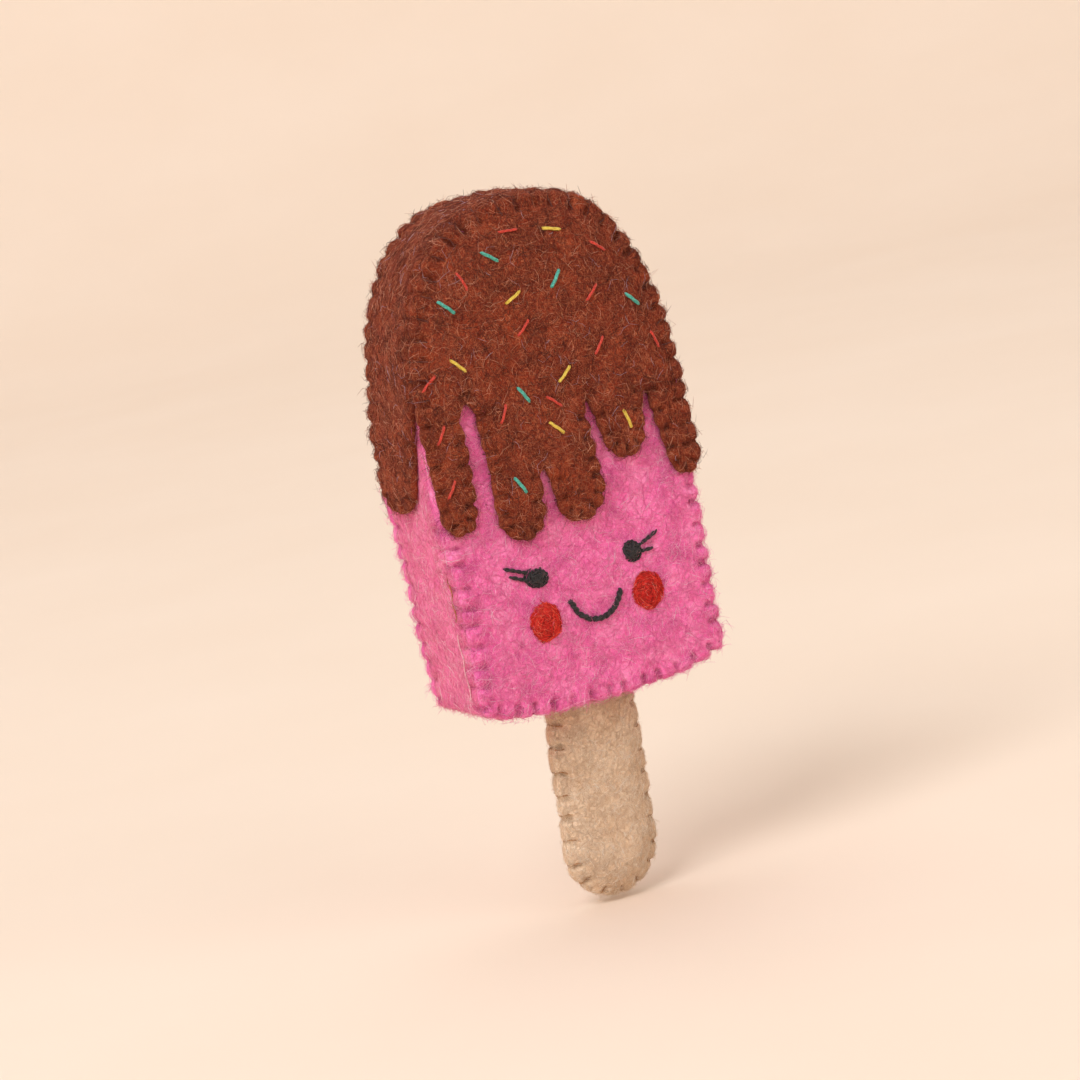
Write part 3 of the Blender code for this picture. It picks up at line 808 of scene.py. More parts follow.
# %% [markdown]
# The strip reaches both seams over the top. Down each side it draws back from them, so a line of
# pink shows beside the seam, and it ends in a round drip.

# %% Coat strip
SIDE_DRIP_TIP, SIDE_DRIP_HALF, SIDE_DRIP_ROUND, SIDE_GAP_TOP = 91.0, 6.9, 6.5, 117.0
SIDE_DRIP_MIDDLE = 1.5  # the drips lie a little nearer the back
coat_half = EDGE_Y + GAP + 0.2


def reach_height(height, sign):
    """The distance along the outline where its right (1) or left (-1) side has this height."""
    there = (np.sign(edge_line[0][:, 0]) == sign) & (edge_line[0][:, 1] > height)
    return edge_line[1][there].min() if sign > 0 else edge_line[1][there].max()


def drip_end(sign):
    """One round end of the strip, from one seam round the tip to the other seam."""
    tip, leave = reach_height(SIDE_DRIP_TIP, sign), reach_height(SIDE_GAP_TOP, sign)
    turn = np.linspace(0, np.pi, 25)
    along = tip + sign * SIDE_DRIP_ROUND * (1 - np.sin(turn))
    rounded = np.c_[along, SIDE_DRIP_MIDDLE + sign * SIDE_DRIP_HALF * np.cos(turn)]
    return np.r_[[(leave, sign * coat_half)], rounded, [(leave, -sign * coat_half)]]


right_end, left_end = drip_end(1), drip_end(-1)
s = np.linspace(right_end[-1, 0] + 1, left_end[0, 0] - 1, 130)
front_edge, back_edge = (np.c_[s, np.full(len(s), sign * coat_half)] for sign in (-1, 1))
contour = np.r_[right_end, front_edge, left_end, back_edge[::-1]]
bm, area = cut_felt("chocolate_strip_felt", contour)
# The two ends are one line for the search, with a long way between them.
APART = 200
right_line, left_line = evenly(right_end, 0.4), evenly(left_end, 0.4)
ends = tuple(np.r_[right_line[i], left_line[i] + (APART if i == 1 else 0)] for i in range(3))
right_stitches = stitch_places(2.5, right_line[1][-1] - 2.5, DRIP_STITCH)
left_stitches = stitch_places(APART + 2.5, APART + left_line[1][-1] - 2.5, DRIP_STITCH)
end_places = np.r_[right_stitches, left_stitches]
laid = lay_strip(bm, coat_half, GAP, coat_places, COAT_STITCH, ends, end_places, belly=0.25)
size = (reach_height(SIDE_DRIP_TIP, -1) - reach_height(SIDE_DRIP_TIP, 1), 2 * coat_half)
name, node = "chocolate_strip_felt", "chocolate_gusset"
finish_felt(name, bm, laid, brown_felt, node, size)

# %% [markdown]
# ## The stick
#
# Two round-ended strips of beige felt, sewn edge to edge round a thin filling, and pushed into
# the slot under the body.

# %% Stick felt
STICK_TIP, STICK_TOP, STICK_HALF, STICK_ROUND = 1.2, 60.0, 10.8, 11.3
STICK_NARROW, STICK_WIDEST, STICK_FOOT_X, STICK_LEAN = 1.4, 26.0, -0.8, 2.1
STICK_DOME = 2.75  # how far the filling lifts the middle of each half
STICK_TIGHT = 0.9  # the edges are sewn flat on each other, as far in as this


def stick_sides(z, out):
    """The x of the stick's left and right edges at each height: it leans right and narrows upwards."""
    z = np.minimum(z, BASE)
    middle = STICK_FOOT_X + STICK_LEAN * (z / BASE) ** 2
    half = STICK_HALF + out - STICK_NARROW * (np.maximum(0, z - STICK_WIDEST) / (BASE - STICK_WIDEST)) ** 2
    return middle - half, middle + half


def stick_outline(out=0.0):
    """The stick seen from the front, anticlockwise from its top left corner."""
    turn = np.linspace(0, np.pi, 61)
    low = STICK_TIP + STICK_ROUND
    z_round = low - (STICK_ROUND + out) * np.sin(turn)
    middle = sum(stick_sides(z_round, 0)) / 2
    rounded = np.c_[middle - (STICK_HALF + out) * np.cos(turn), z_round]
    z = np.linspace(STICK_TOP, low + 0.8, 50)
    left, right = stick_sides(z, out)
    return np.r_[np.c_[left, z], rounded, np.c_[right[::-1], z[::-1]]]


stick_line = evenly(stick_outline(), 0.4)
stick_places = stitch_places(10.0, stick_line[1][-1] - 10.0, 4.7)
print("round the stick:", round(stick_line[1][-1], 1), "mm,", len(stick_places), "stitches")


def lay_stick(bm, side):
    """One half of the stick, laid over its filling: it turns in at its edge to meet the other half."""
    flat = np.array([v.co for v in bm.verts])
    through = np.clip(flat[:, 1] / FELT, 0, 1)
    along, inset, normal = along_line(stick_line, flat[:, [0, 2]])
    pull = pull_of(along, inset, stick_places, width=0.6, reach=1.6) * 0.85
    grip = np.exp(-((inset / 1.8) ** 2))
    across = -normal * (pull * 0.4 - 0.15 * (1 - np.clip(pull, 0, 1)))[:, None] * grip[:, None]
    shape = np.c_[flat[:, 0], np.full(len(flat), side * 3.0), flat[:, 2]]
    rough = 0.12 * lumps(shape, 6.0, 12 + side)
    rounding = 0.25 * np.clip(1 - inset / 1.4, 0, 1) ** 2
    height = through * FELT * (1 - 0.5 * np.clip(pull, 0, 1.1) - rounding) + through * rough
    laid_y = side * (dome(inset - STICK_TIGHT, STICK_DOME, 5.6, 2.0) + height)
    # The pull is also kept as the painted shade at the stitches.
    return np.c_[flat[:, 0] + across[:, 0], laid_y, flat[:, 2] + across[:, 1]], through, pull


for word, side in (("front", -1), ("back", 1)):
    name, node = f"stick_{word}_felt", f"stick_{word}_panel"
    contour = stick_outline()
    bm, area = cut_felt(name, contour)
    size = np.ptp(contour, axis=0)
    finish_felt(name, bm, lay_stick(bm, side), beige_felt, node, size)

# %% [markdown]
# ## The filling
#
# Polyester wadding fills the body and the stick. The felt hides it, but it is there: each
# filling starts from its CAD solid, gets an even mesh, and is drawn in a little and made fluffy.

# %% Filling
airy = {"Roughness": 1.0, "Specular IOR Level": 0.1, "Sheen Weight": 0.3}
fluff, tree, shader = new_material("polyester_wadding", airy)
place = add_node(tree, "ShaderNodeTexCoord").outputs["Object"]
cloud = add_node(
    tree, "ShaderNodeTexNoise", inputs={"Scale": 1 / (2.0 * MM), "Detail": 6.0}, links={"Vector": place}
)
tint = add_node(tree, "ShaderNodeValToRGB", links={"Fac": cloud.outputs["Fac"]})
colour_stops(tint, [(0.3, "#E2DACB"), (0.7, "#F6F2E8")])
tree.links.new(tint.outputs["Color"], shader.inputs["Base Color"])
bumped = add_node(
    tree, "ShaderNodeBump",
    inputs={"Strength": 0.6, "Distance": 0.5 * MM}, links={"Height": cloud.outputs["Fac"]},
)
tree.links.new(bumped.outputs["Normal"], shader.inputs["Normal"])

for name, node in (("body_filling", "body_wadding"), ("stick_filling", "stick_wadding")):
    bm = bmesh.new()
    bm.from_mesh(frame["nodes"][node].data)
    bmesh.ops.remove_doubles(bm, verts=bm.verts, dist=0.001 * MM)
    bmesh.ops.scale(bm, vec=(1 / MM,) * 3, verts=bm.verts)
    bm = even_mesh(piece_from(name + "_scratch", bm, fluff), cell=1.2, rounds=3)
    points = np.array([v.co for v in bm.verts])
    bm.normal_update()
    normals = np.array([v.normal for v in bm.verts])
    put_back(bm, settle(points - normals * (0.75 - 0.25 * lumps(points, 3.0, 20))[:, None]))
    filling = piece_from(name, bm, fluff)
    take_place(filling, node)
    print(name, len(filling.data.vertices), "points")

# %% [markdown]
# ## Finding the cloth
#
# Everything from here on lies on the finished felt. A search tree of all its faces answers two
# questions: where is the cloth nearest to this point, and where is it straight behind this
# place on the front.

# %% Search the felt
def search_tree(names):
    points, faces = [], []
    for name in names:
        mesh = felts[name][0].data
        start = len(points)
        points += [v.co / MM for v in mesh.vertices]
        faces += [[start + i for i in face.vertices] for face in mesh.polygons]
    return BVHTree.FromPolygons(points, faces)


all_felt = search_tree(felts)


def on_felt(point, lift):
    """The nearest place on the felt, this far off its face, in mm."""
    place, normal, _, _ = all_felt.find_nearest(Vector(point))
    return np.array(place + normal * lift)


def on_face(x, z, lift, side=-1):
    """The place on the front (side -1) or the back straight behind (x, z)."""
    place, normal, _, _ = all_felt.ray_cast(Vector((x, side * 40, z)), Vector((0, -side, 0)))
    return np.array(place) + np.array((0, side * lift, 0))


print("felt at the middle of the front:", on_face(0, 110, 0).round(2))

# %% [markdown]
# ## Thread and floss
#
# Sewing thread and embroidery floss are spun plies twisted round each other, which is why a
# stitch looks like a tiny rope. Each ply here is a bevelled curve that winds round the stitch's
# own line, and the finished curves are made one mesh per seam. The ends narrow where they
# dive into the felt.

# %% Twisted thread
def smooth_route(points, step):
    """Points evenly spaced along a smooth line through the given ones."""
    points = np.array(points, float)
    for _ in range(3):  # corner cutting
        cut = np.empty((2 * len(points) - 2, 3))
        cut[0::2] = points[:-1] * 0.75 + points[1:] * 0.25
        cut[1::2] = points[:-1] * 0.25 + points[1:] * 0.75
        cut[0], cut[-1] = points[0], points[-1]
        points = cut
    ends = np.r_[0, np.cumsum(np.linalg.norm(np.diff(points, axis=0), axis=1))]
    along = np.linspace(0, ends[-1], max(4, int(ends[-1] / step) + 1))
    return np.c_[tuple(np.interp(along, ends, points[:, i]) for i in range(3))], along


def twisted(name, routes, width, material, plies=2, step=0.45, lay=2.2, taper=0.5, sides=0):
    """A mesh of threads of this width in mm, one for each route.

    lay is the length of one turn of the twist, and taper the length over which an end narrows.
    """
    curve = bpy.data.curves.new(name, "CURVE")
    curve.dimensions, curve.use_fill_caps, curve.bevel_resolution = "3D", True, sides
    ply = width / 2 * (0.56 if plies > 1 else 1.0)
    curve.bevel_depth = ply * MM
    off = width / 2 - ply if plies > 1 else 0.0
    for route in routes:
        points, along = smooth_route(route, step)
        tangent = np.gradient(points, axis=0)
        tangent /= np.linalg.norm(tangent, axis=1)[:, None] + 1e-9
        side = np.cross(tangent, (0.31, -0.92, 0.24))
        side /= np.linalg.norm(side, axis=1)[:, None] + 1e-9
        over = np.cross(side, tangent)
        thin = np.clip(np.minimum(along, along[-1] - along) / taper, 0.3, 1.0)
        start = hand.uniform(0, 2 * math.pi)
        for k in range(plies):
            turn = start + 2 * math.pi * (along / lay + k / plies)
            round_it = np.cos(turn)[:, None] * side + np.sin(turn)[:, None] * over
            centre = points + off * round_it * thin[:, None]
            spline = curve.splines.new("POLY")
            spline.points.add(len(centre) - 1)
            for target, (x, y, z), r in zip(spline.points, centre, thin):
                target.co, target.radius = (x * MM, y * MM, z * MM, 1), r
    scratch = bpy.data.objects.new(name + "_curve", curve)
    bpy.context.scene.collection.objects.link(scratch)
    graph = bpy.context.evaluated_depsgraph_get()
    mesh = bpy.data.meshes.new_from_object(scratch.evaluated_get(graph))
    bpy.data.objects.remove(scratch)
    bm = bmesh.new()
    bm.from_mesh(mesh)
    bmesh.ops.recalc_face_normals(bm, faces=bm.faces)
    bpy.data.meshes.remove(mesh)
    return piece_from(name, bm, material)


# %% [markdown]
# Cotton thread and floss are smooth and faintly glossy. Fine fibres along each ply give streaks
# of light and shade, about 0.35 mm apart.

# %% Floss material
def floss_material(name, dark, light, roughness=0.55):
    """Spun cotton, from a dark tone to a light one."""
    cotton = {"Roughness": roughness, "Specular IOR Level": 0.35, "Sheen Weight": 0.15}
    made, tree, shader = new_material(name, cotton)
    place = add_node(tree, "ShaderNodeTexCoord").outputs["Object"]
    spun = add_node(
        tree, "ShaderNodeTexNoise", inputs={"Scale": 1 / (0.35 * MM), "Detail": 3.0}, links={"Vector": place}
    )
    tone = add_node(tree, "ShaderNodeValToRGB", links={"Fac": spun.outputs["Fac"]})
    colour_stops(tone, [(0.35, dark), (0.65, light)])
    tree.links.new(tone.outputs["Color"], shader.inputs["Base Color"])
    bumped = add_node(
        tree, "ShaderNodeBump",
        inputs={"Strength": 0.5, "Distance": 0.08 * MM}, links={"Height": spun.outputs["Fac"]},
    )
    tree.links.new(bumped.outputs["Normal"], shader.inputs["Normal"])
    return made


pink_thread = floss_material("pink_cotton_thread", "#B5407C", "#D2609A", 0.7)
brown_thread = floss_material("chocolate_cotton_thread", "#4A1A10", "#6E2E1E", 0.7)
beige_thread = floss_material("brown_cotton_thread", "#96683F", "#B98C62", 0.7)
print("threads:", pink_thread.name, brown_thread.name, beige_thread.name)

# %% [markdown]
# ## Whip stitches
#
# A whip stitch comes out of the face, goes over the edge and into the felt beyond it, so
# each is a short loop that lies in its own groove. Its points are laid on the felt one by one. The
# pink seams show only below the coat, and the brown ones only above the side drips.

# %% Seam stitches
def point_at(s, out):
    """The place on the body's outline at this distance along it, this far outside."""
    even, along, normal = edge_line
    s = s % edge_length
    return np.array([np.interp(s, along, even[:, i] + out * normal[:, i]) for i in (0, 1)])


def edge_stitches(places, side, out, edge_y, inside, across):
    """Loops over the edge between a panel and the strip beside it."""
    routes = []
    for s in places[:, 0]:
        slant = hand.uniform(-0.5, 0.9)
        ax, az = point_at(s, out - inside)
        bx, bz = point_at(s + slant * 0.3, out - 0.5 * inside)
        cx, cz = point_at(s + slant * 0.6, out + 0.1)
        dx, dz = point_at(s + slant, out - 0.3)
        y = edge_y + float(deeper(az))
        spots = (  # x, how far from the middle, z, and how far off the felt
            (ax, y + 1.3, az, -0.6), (ax, y + 1.2, az, -0.04), (bx, y + 0.5, bz, 0.0), (cx, y - 0.3, cz, 0.06),
            (dx, y - 0.7 * across, dz, 0.0), (dx, y - across, dz, -0.04), (dx, y - across - 0.1, dz, -0.6),
        )
        routes.append([on_felt((x, side * depth, z), lift) for x, depth, z, lift in spots])
    return routes


def sewn(name, routes, width, material, node):
    """Makes the stitches of one seam as one piece, in the place of its CAD node."""
    made = twisted(name, routes, width, material)
    take_place(made, node)
    print(f"{name}: {len(routes)} stitches, {len(made.data.polygons)} faces")


SEAM_THREAD = 0.34  # thickness in mm
shown_pink = np.array([place for place in pink_places if point_at(place[0], 0)[1] < 87])
shown_coat = np.array([place for place in coat_places if point_at(place[0], 0)[1] > SIDE_GAP_TOP - 4])
for word, side in (("front", -1), ("back", 1)):
    routes = edge_stitches(shown_pink, side, 0.0, EDGE_Y, PINK_STITCH, 2.2)
    sewn(f"pink_{word}_stitches", routes, SEAM_THREAD, pink_thread, f"{word}_seam_thread")
    routes = edge_stitches(shown_coat, side, COAT_OUT, EDGE_Y + LAYER, COAT_STITCH, 3.2)
    node = f"chocolate_{word}_seam_thread"
    sewn(f"chocolate_{word}_stitches", routes, SEAM_THREAD, brown_thread, node)

# %% [markdown]
# The drips are sewn down in the same way, with finer thread. Each stitch starts on the brown felt
# and dives into the pink felt beside it.

# %% Drip stitches
DRIP_SPOTS = ((-2.1, -0.6), (-2.0, -0.04), (-1.0, 0.0), (-0.4, 0.03), (-0.1, -0.02), (0.0, -0.6))
for word, side, even in (("front", -1, front_drip_even), ("back", 1, back_drip_even)):
    routes = []
    for s in drip_places[word][:, 0]:
        at = [np.interp(s, even[1], even[0][:, i]) for i in (0, 1)]
        n = [np.interp(s, even[1], even[2][:, i]) for i in (0, 1)]
        if abs(at[0]) > SHOULDER_HALF - 0.5:
            continue  # past the edge of the face
        route = []
        for away, lift in DRIP_SPOTS:
            x, z = at[0] + n[0] * away, at[1] + n[1] * away
            route.append(on_face(np.clip(x, -30.2, 30.2), z, lift, side))
        routes.append(route)
    sewn(f"drip_{word}_stitches", routes, 0.28, brown_thread, f"drip_{word}_thread")

# %% [markdown]
# The stick's stitches go right round its edge, from the front to the back. They stop where the
# stick goes into the body.

# %% Stick stitches
# How far outside the edge, how far from front to back, and how far off the felt.
STICK_SPOTS = (
    (-1.7, -3.2, -0.5), (-1.6, -3.2, -0.03), (-0.8, -2.4, 0.0), (0.1, -1.3, 0.04), (0.3, 0.0, 0.04),
    (0.1, 1.3, 0.04), (-0.8, 2.4, 0.0), (-1.6, 3.2, -0.03), (-1.7, 3.2, -0.5),
)
routes = []
for s in stick_places[:, 0]:
    x, z = (np.interp(s, stick_line[1], stick_line[0][:, i]) for i in (0, 1))
    nx, nz = (np.interp(s, stick_line[1], stick_line[2][:, i]) for i in (0, 1))
    if z > 43:
        continue
    slant = hand.uniform(-0.3, 0.3)
    route = []
    for away, y, lift in STICK_SPOTS:
        spot = (x + nx * away - nz * slant * y / 3, y, max(0.4, z + nz * away))
        route.append(on_felt(spot, lift))
    routes.append(route)
sewn("stick_stitches", routes, 0.36, beige_thread, "stick_seam_thread")

# %% [markdown]
# ## The face
#
# The face is embroidered in black floss: wound knots for the eyes, straight stitches for the
# lashes and backstitches for the smile. The cheeks are red wool, pushed into the felt with a
# barbed needle. The CAD nodes say where each one is.

# %% Face floss
black_floss = floss_material("black_floss", "#0E0B0D", "#2C282B", 0.5)


def ends_of(node):
    """The two ends of a straight stitch's CAD node, as (x, z) in mm."""
    points = np.array([v.co for v in frame["nodes"][node].data.vertices])[:, [0, 2]] / MM
    middle = points.mean(0)
    axis = np.linalg.svd(points - middle, full_matrices=False)[2][0]
    reach = (points - middle) @ axis
    return middle + axis * reach.min(), middle + axis * reach.max()


def straight_stitch(a, b, lift, dive=0.7):
    """One stitch on the front: it comes out of the felt, bows a little, and goes back in."""
    shares = (0.0, 0.02, 0.25, 0.5, 0.75, 0.98, 1.0)
    lifts = (-dive, lift * 0.4, lift, lift * 1.25, lift, lift * 0.4, -dive)
    return [on_face(*(a + (b - a) * share), up) for share, up in zip(shares, lifts)]


print("face floss:", black_floss.name)

# %% [markdown]
# An eye is wound round and round, then crossed by the last winds, so it is a low knot. The left one
# is the wider. Its two lashes start under it.

# %% Eyes and lashes
WINDS = ((2.2, 0.2, 2.8), (1.65, 0.6, 2.4), (0.95, 0.95, 1.7))  # radius, height above the felt, turns
CROSSING = ((-2.2, 0.1), (-1.3, 0.85), (0.0, 1.35), (1.3, 0.85), (2.2, 0.1))  # along the wind, height
KNOTS = (("left", -1, 1.36, -0.4), ("right", 1, 1.08, 0.0))  # side, sign, how wide, shift in x
for word, sign, wide, shifted in KNOTS:
    low, high = (np.array(corner_point) / MM for corner_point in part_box(f"{word}_eye"))
    cx, cz = (low[0] + high[0]) / 2 + shifted, (low[2] + high[2]) / 2
    routes = []
    for radius, height, turns in WINDS:
        t = np.linspace(0, 1, 40)
        a = 2 * math.pi * turns * t + hand.uniform(0, 6)
        r = radius * (1 - 0.75 * t) * (1 + 0.09 * np.sin(2 * a + hand.uniform(0, 6)) + 0.05 * np.sin(5 * a))
        x, z = cx + wide * r * np.cos(a), cz + r * np.sin(a)
        routes.append([on_face(*spot) for spot in zip(x, z, height + 0.15 * t)])
    for angle in (0.2, 0.9, 1.6, 2.5):
        c, s = math.cos(angle + sign * 0.3), math.sin(angle + sign * 0.3)
        shift = hand.uniform(-0.7, 0.7)
        routes.append([on_face(cx + u * c - shift * s, cz + u * s + shift * c, up) for u, up in CROSSING])
    eye = twisted(f"{word}_eye_knot", routes, 0.7, black_floss, step=0.35, lay=1.9, sides=1)
    take_place(eye, f"{word}_eye")
    for part in ("upper", "lower"):
        node = f"{word}_eye_{part}_lash"
        a, b = sorted(ends_of(node), key=lambda end: abs(end[0] - cx))
        a = a + (a - b) / np.linalg.norm(b - a) * 1.1  # the lash starts under the knot
        lash = twisted(
            f"{word}_{part}_lash_stitch", [straight_stitch(a, b, 0.42)], 0.92, black_floss,
            step=0.3, lay=2.8, taper=1.4, sides=1,
        )
        take_place(lash, node)
    print(f"{word} eye: {len(eye.data.polygons)} faces")

# %% [markdown]
# The smile is one curve, sewn as five backstitches that meet end to end.

# %% Smile
SMILE = np.array([
    (-5.2, 66.9), (-4.6, 64.9), (-3.0, 62.9), (-0.6, 61.6), (1.8, 61.3), (4.2, 62.2), (6.0, 64.0), (6.9, 66.2),
])
arc, lengths = smooth_route(np.c_[SMILE[:, 0], np.zeros(len(SMILE)), SMILE[:, 1]], 0.2)
cuts = [int(share * (len(arc) - 1)) for share in (0.0, 0.2, 0.41, 0.6, 0.8, 1.0)]
routes = [straight_stitch(arc[i, [0, 2]], arc[j, [0, 2]], 0.4, dive=0.5) for i, j in zip(cuts, cuts[1:])]
smile = twisted("smile_stitches", routes, 1.35, black_floss, step=0.3, lay=2.6, taper=0.35, sides=1)
take_place(smile, "smile_thread")
print("smile:", round(lengths[-1], 1), "mm long")

# %% [markdown]
# ## Sprinkles
#
# Each sprinkle is one stitch of coloured floss, where its CAD node is. The red ones are a
# little thinner, as they are on the toy.

# %% Sprinkles
flosses = {
    "red": (floss_material("red_floss", "#A8281C", "#DA4632", 0.45), 0.62),
    "yellow": (floss_material("yellow_floss", "#C9A52C", "#E8D25E", 0.45), 0.72),
    "teal": (floss_material("teal_floss", "#2B8F7E", "#62BFAE", 0.45), 0.76),
}
LOOSE_TWIST = {"plies": 3, "step": 0.3, "lay": 6.0, "taper": 0.8, "sides": 1}
sprinkles = sorted(name for name in frame["nodes"] if "_sprinkle_" in name)
for node in sprinkles:
    colour = node.split("_")[0]
    material, width = flosses[colour]
    made = twisted(node + "_stitch", [straight_stitch(*ends_of(node), 0.32)], width, material, **LOOSE_TWIST)
    take_place(made, node)
print("sprinkles:", len(sprinkles))

# %% [markdown]
# ## Needled cheeks
#
# A cheek is a tuft of red wool stabbed with a felting needle until it sinks into the cloth, so
# it is a low lumpy pad that follows the felt under it, and its rim is pressed in.

# %% Cheeks
dry_wool = {"Roughness": 0.95, "Specular IOR Level": 0.15, "Sheen Weight": 0.25}
wool_red, tree, shader = new_material("needled_red_wool", dry_wool)
place = add_node(tree, "ShaderNodeTexCoord").outputs["Object"]
tangle = add_node(
    tree, "ShaderNodeTexNoise",
    inputs={"Scale": 1 / (0.5 * MM), "Detail": 5.0, "Distortion": 1.5}, links={"Vector": place},
)
tone = add_node(tree, "ShaderNodeValToRGB", links={"Fac": tangle.outputs["Fac"]})
colour_stops(tone, [(0.3, "#AE1C1A"), (0.55, "#DC302C"), (0.75, "#F04C40")])
tree.links.new(tone.outputs["Color"], shader.inputs["Base Color"])
bumped = add_node(
    tree, "ShaderNodeBump",
    inputs={"Strength": 0.7, "Distance": 0.25 * MM}, links={"Height": tangle.outputs["Fac"]},
)
tree.links.new(bumped.outputs["Normal"], shader.inputs["Normal"])

CHEEK_HALF_WIDE, CHEEK_HALF_HIGH = 3.4, 3.85
CHEEK_SHIFT, RIGHT_CHEEK_UP = 0.8, 0.5  # both lie a little to the right of their CAD nodes
for word, raised in (("left", 0.0), ("right", RIGHT_CHEEK_UP)):
    low, high = (np.array(c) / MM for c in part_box(f"{word}_cheek"))
    cx, cz = (low[0] + high[0]) / 2 + CHEEK_SHIFT, (low[2] + high[2]) / 2 + raised
    bm = bmesh.new()
    bmesh.ops.create_icosphere(bm, subdivisions=5, radius=1.0)
    for vert in bm.verts:
        x, y, z = vert.co
        wobble = 1 + 0.07 * noise.noise(Vector((x, z, cx)) * 1.6)
        px, pz = cx + CHEEK_HALF_WIDE * wobble * x, cz + CHEEK_HALF_HIGH * wobble * z
        fine, broad = noise.noise(Vector((px, pz, 5.0)) / 0.9), noise.noise(Vector((px, pz, 2.0)) / 2.0)
        bumps = 0.16 * fine + 0.12 * broad
        lift = (0.95 * (-y) ** 0.8 + bumps) if y < 0 else -0.35 * y
        vert.co = Vector(on_face(px, pz, lift)) * MM
    bmesh.ops.recalc_face_normals(bm, faces=bm.faces)
    cheek = piece_from(f"{word}_cheek_wool", bm, wool_red)
    take_place(cheek, f"{word}_cheek")
    felts[cheek.name] = (cheek, np.ones(len(cheek.data.vertices)))
    print(f"{word} cheek: {len(cheek.data.vertices)} points")

# %% [markdown]
# ## Loose fibres
#
# What makes felt read as felt is its nap: thousands of fine fibres that lie curled on the cloth
# and stand off its edges. One fibre is a three-sided ball with four bands, drawn out along a
# short curve. Copies are scattered over each felt by area, and each has its own shade.

# %% Scatter fibres
template = bmesh.new()
bmesh.ops.create_uvsphere(template, u_segments=3, v_segments=4, radius=1.0)
fibre_points = np.array([v.co for v in template.verts])
fibre_faces = [[v.index for v in face.verts] for face in template.faces]
# The sphere's faces come in any order, so each is turned to start at its lowest point, and all are sorted.
fibre_faces = sorted(face[face.index(min(face)) :] + face[: face.index(min(face))] for face in fibre_faces)
template.free()
fibre_share = (1 - fibre_points[:, 2]) / 2  # 0 at the root and 1 at the tip
print("one fibre:", len(fibre_points), "points,", len(fibre_faces), "faces")


def fibre_mesh(name, centre, side, over, thickness, shade, material):
    """Joins the copies: centre is each copy's own line, at the shares of the template's points."""
    count, size = len(centre), len(fibre_points)
    across, up = fibre_points[None, :, 0, None], fibre_points[None, :, 1, None]
    ring = across * side[:, None, :] + up * over[:, None, :]
    points = centre + ring * (thickness / 2)[:, None, None]
    corners = np.concatenate([np.array(face) for face in fibre_faces])
    sizes = np.array([len(face) for face in fibre_faces])
    starts = np.r_[0, np.cumsum(sizes)[:-1]]
    copy = np.arange(count)[:, None]
    mesh = bpy.data.meshes.new(name)
    mesh.vertices.add(count * size)
    mesh.vertices.foreach_set("co", (points * MM).astype(np.float32).ravel())
    mesh.loops.add(count * len(corners))
    mesh.loops.foreach_set("vertex_index", (copy * size + corners).astype(np.int32).ravel())
    mesh.polygons.add(count * len(sizes))
    mesh.polygons.foreach_set("loop_start", (copy * len(corners) + starts).astype(np.int32).ravel())
    mesh.update(calc_edges=True)
    mesh.validate()
    mesh.shade_smooth()
    note = mesh.attributes.new("shade", "FLOAT", "POINT")
    note.data.foreach_set("value", np.repeat(shade, size).astype(np.float32))
    mesh.materials.append(material)
    made = bpy.data.objects.new(name, mesh)
    bpy.context.scene.collection.objects.link(made)
    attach(made, "root")
    return made


# %% [markdown]
# The roots are scattered by area over the outside of a felt, and not where another felt covers it. Most
# fibres lie on the cloth and a few stand off it. On a cheek they follow the needle round.

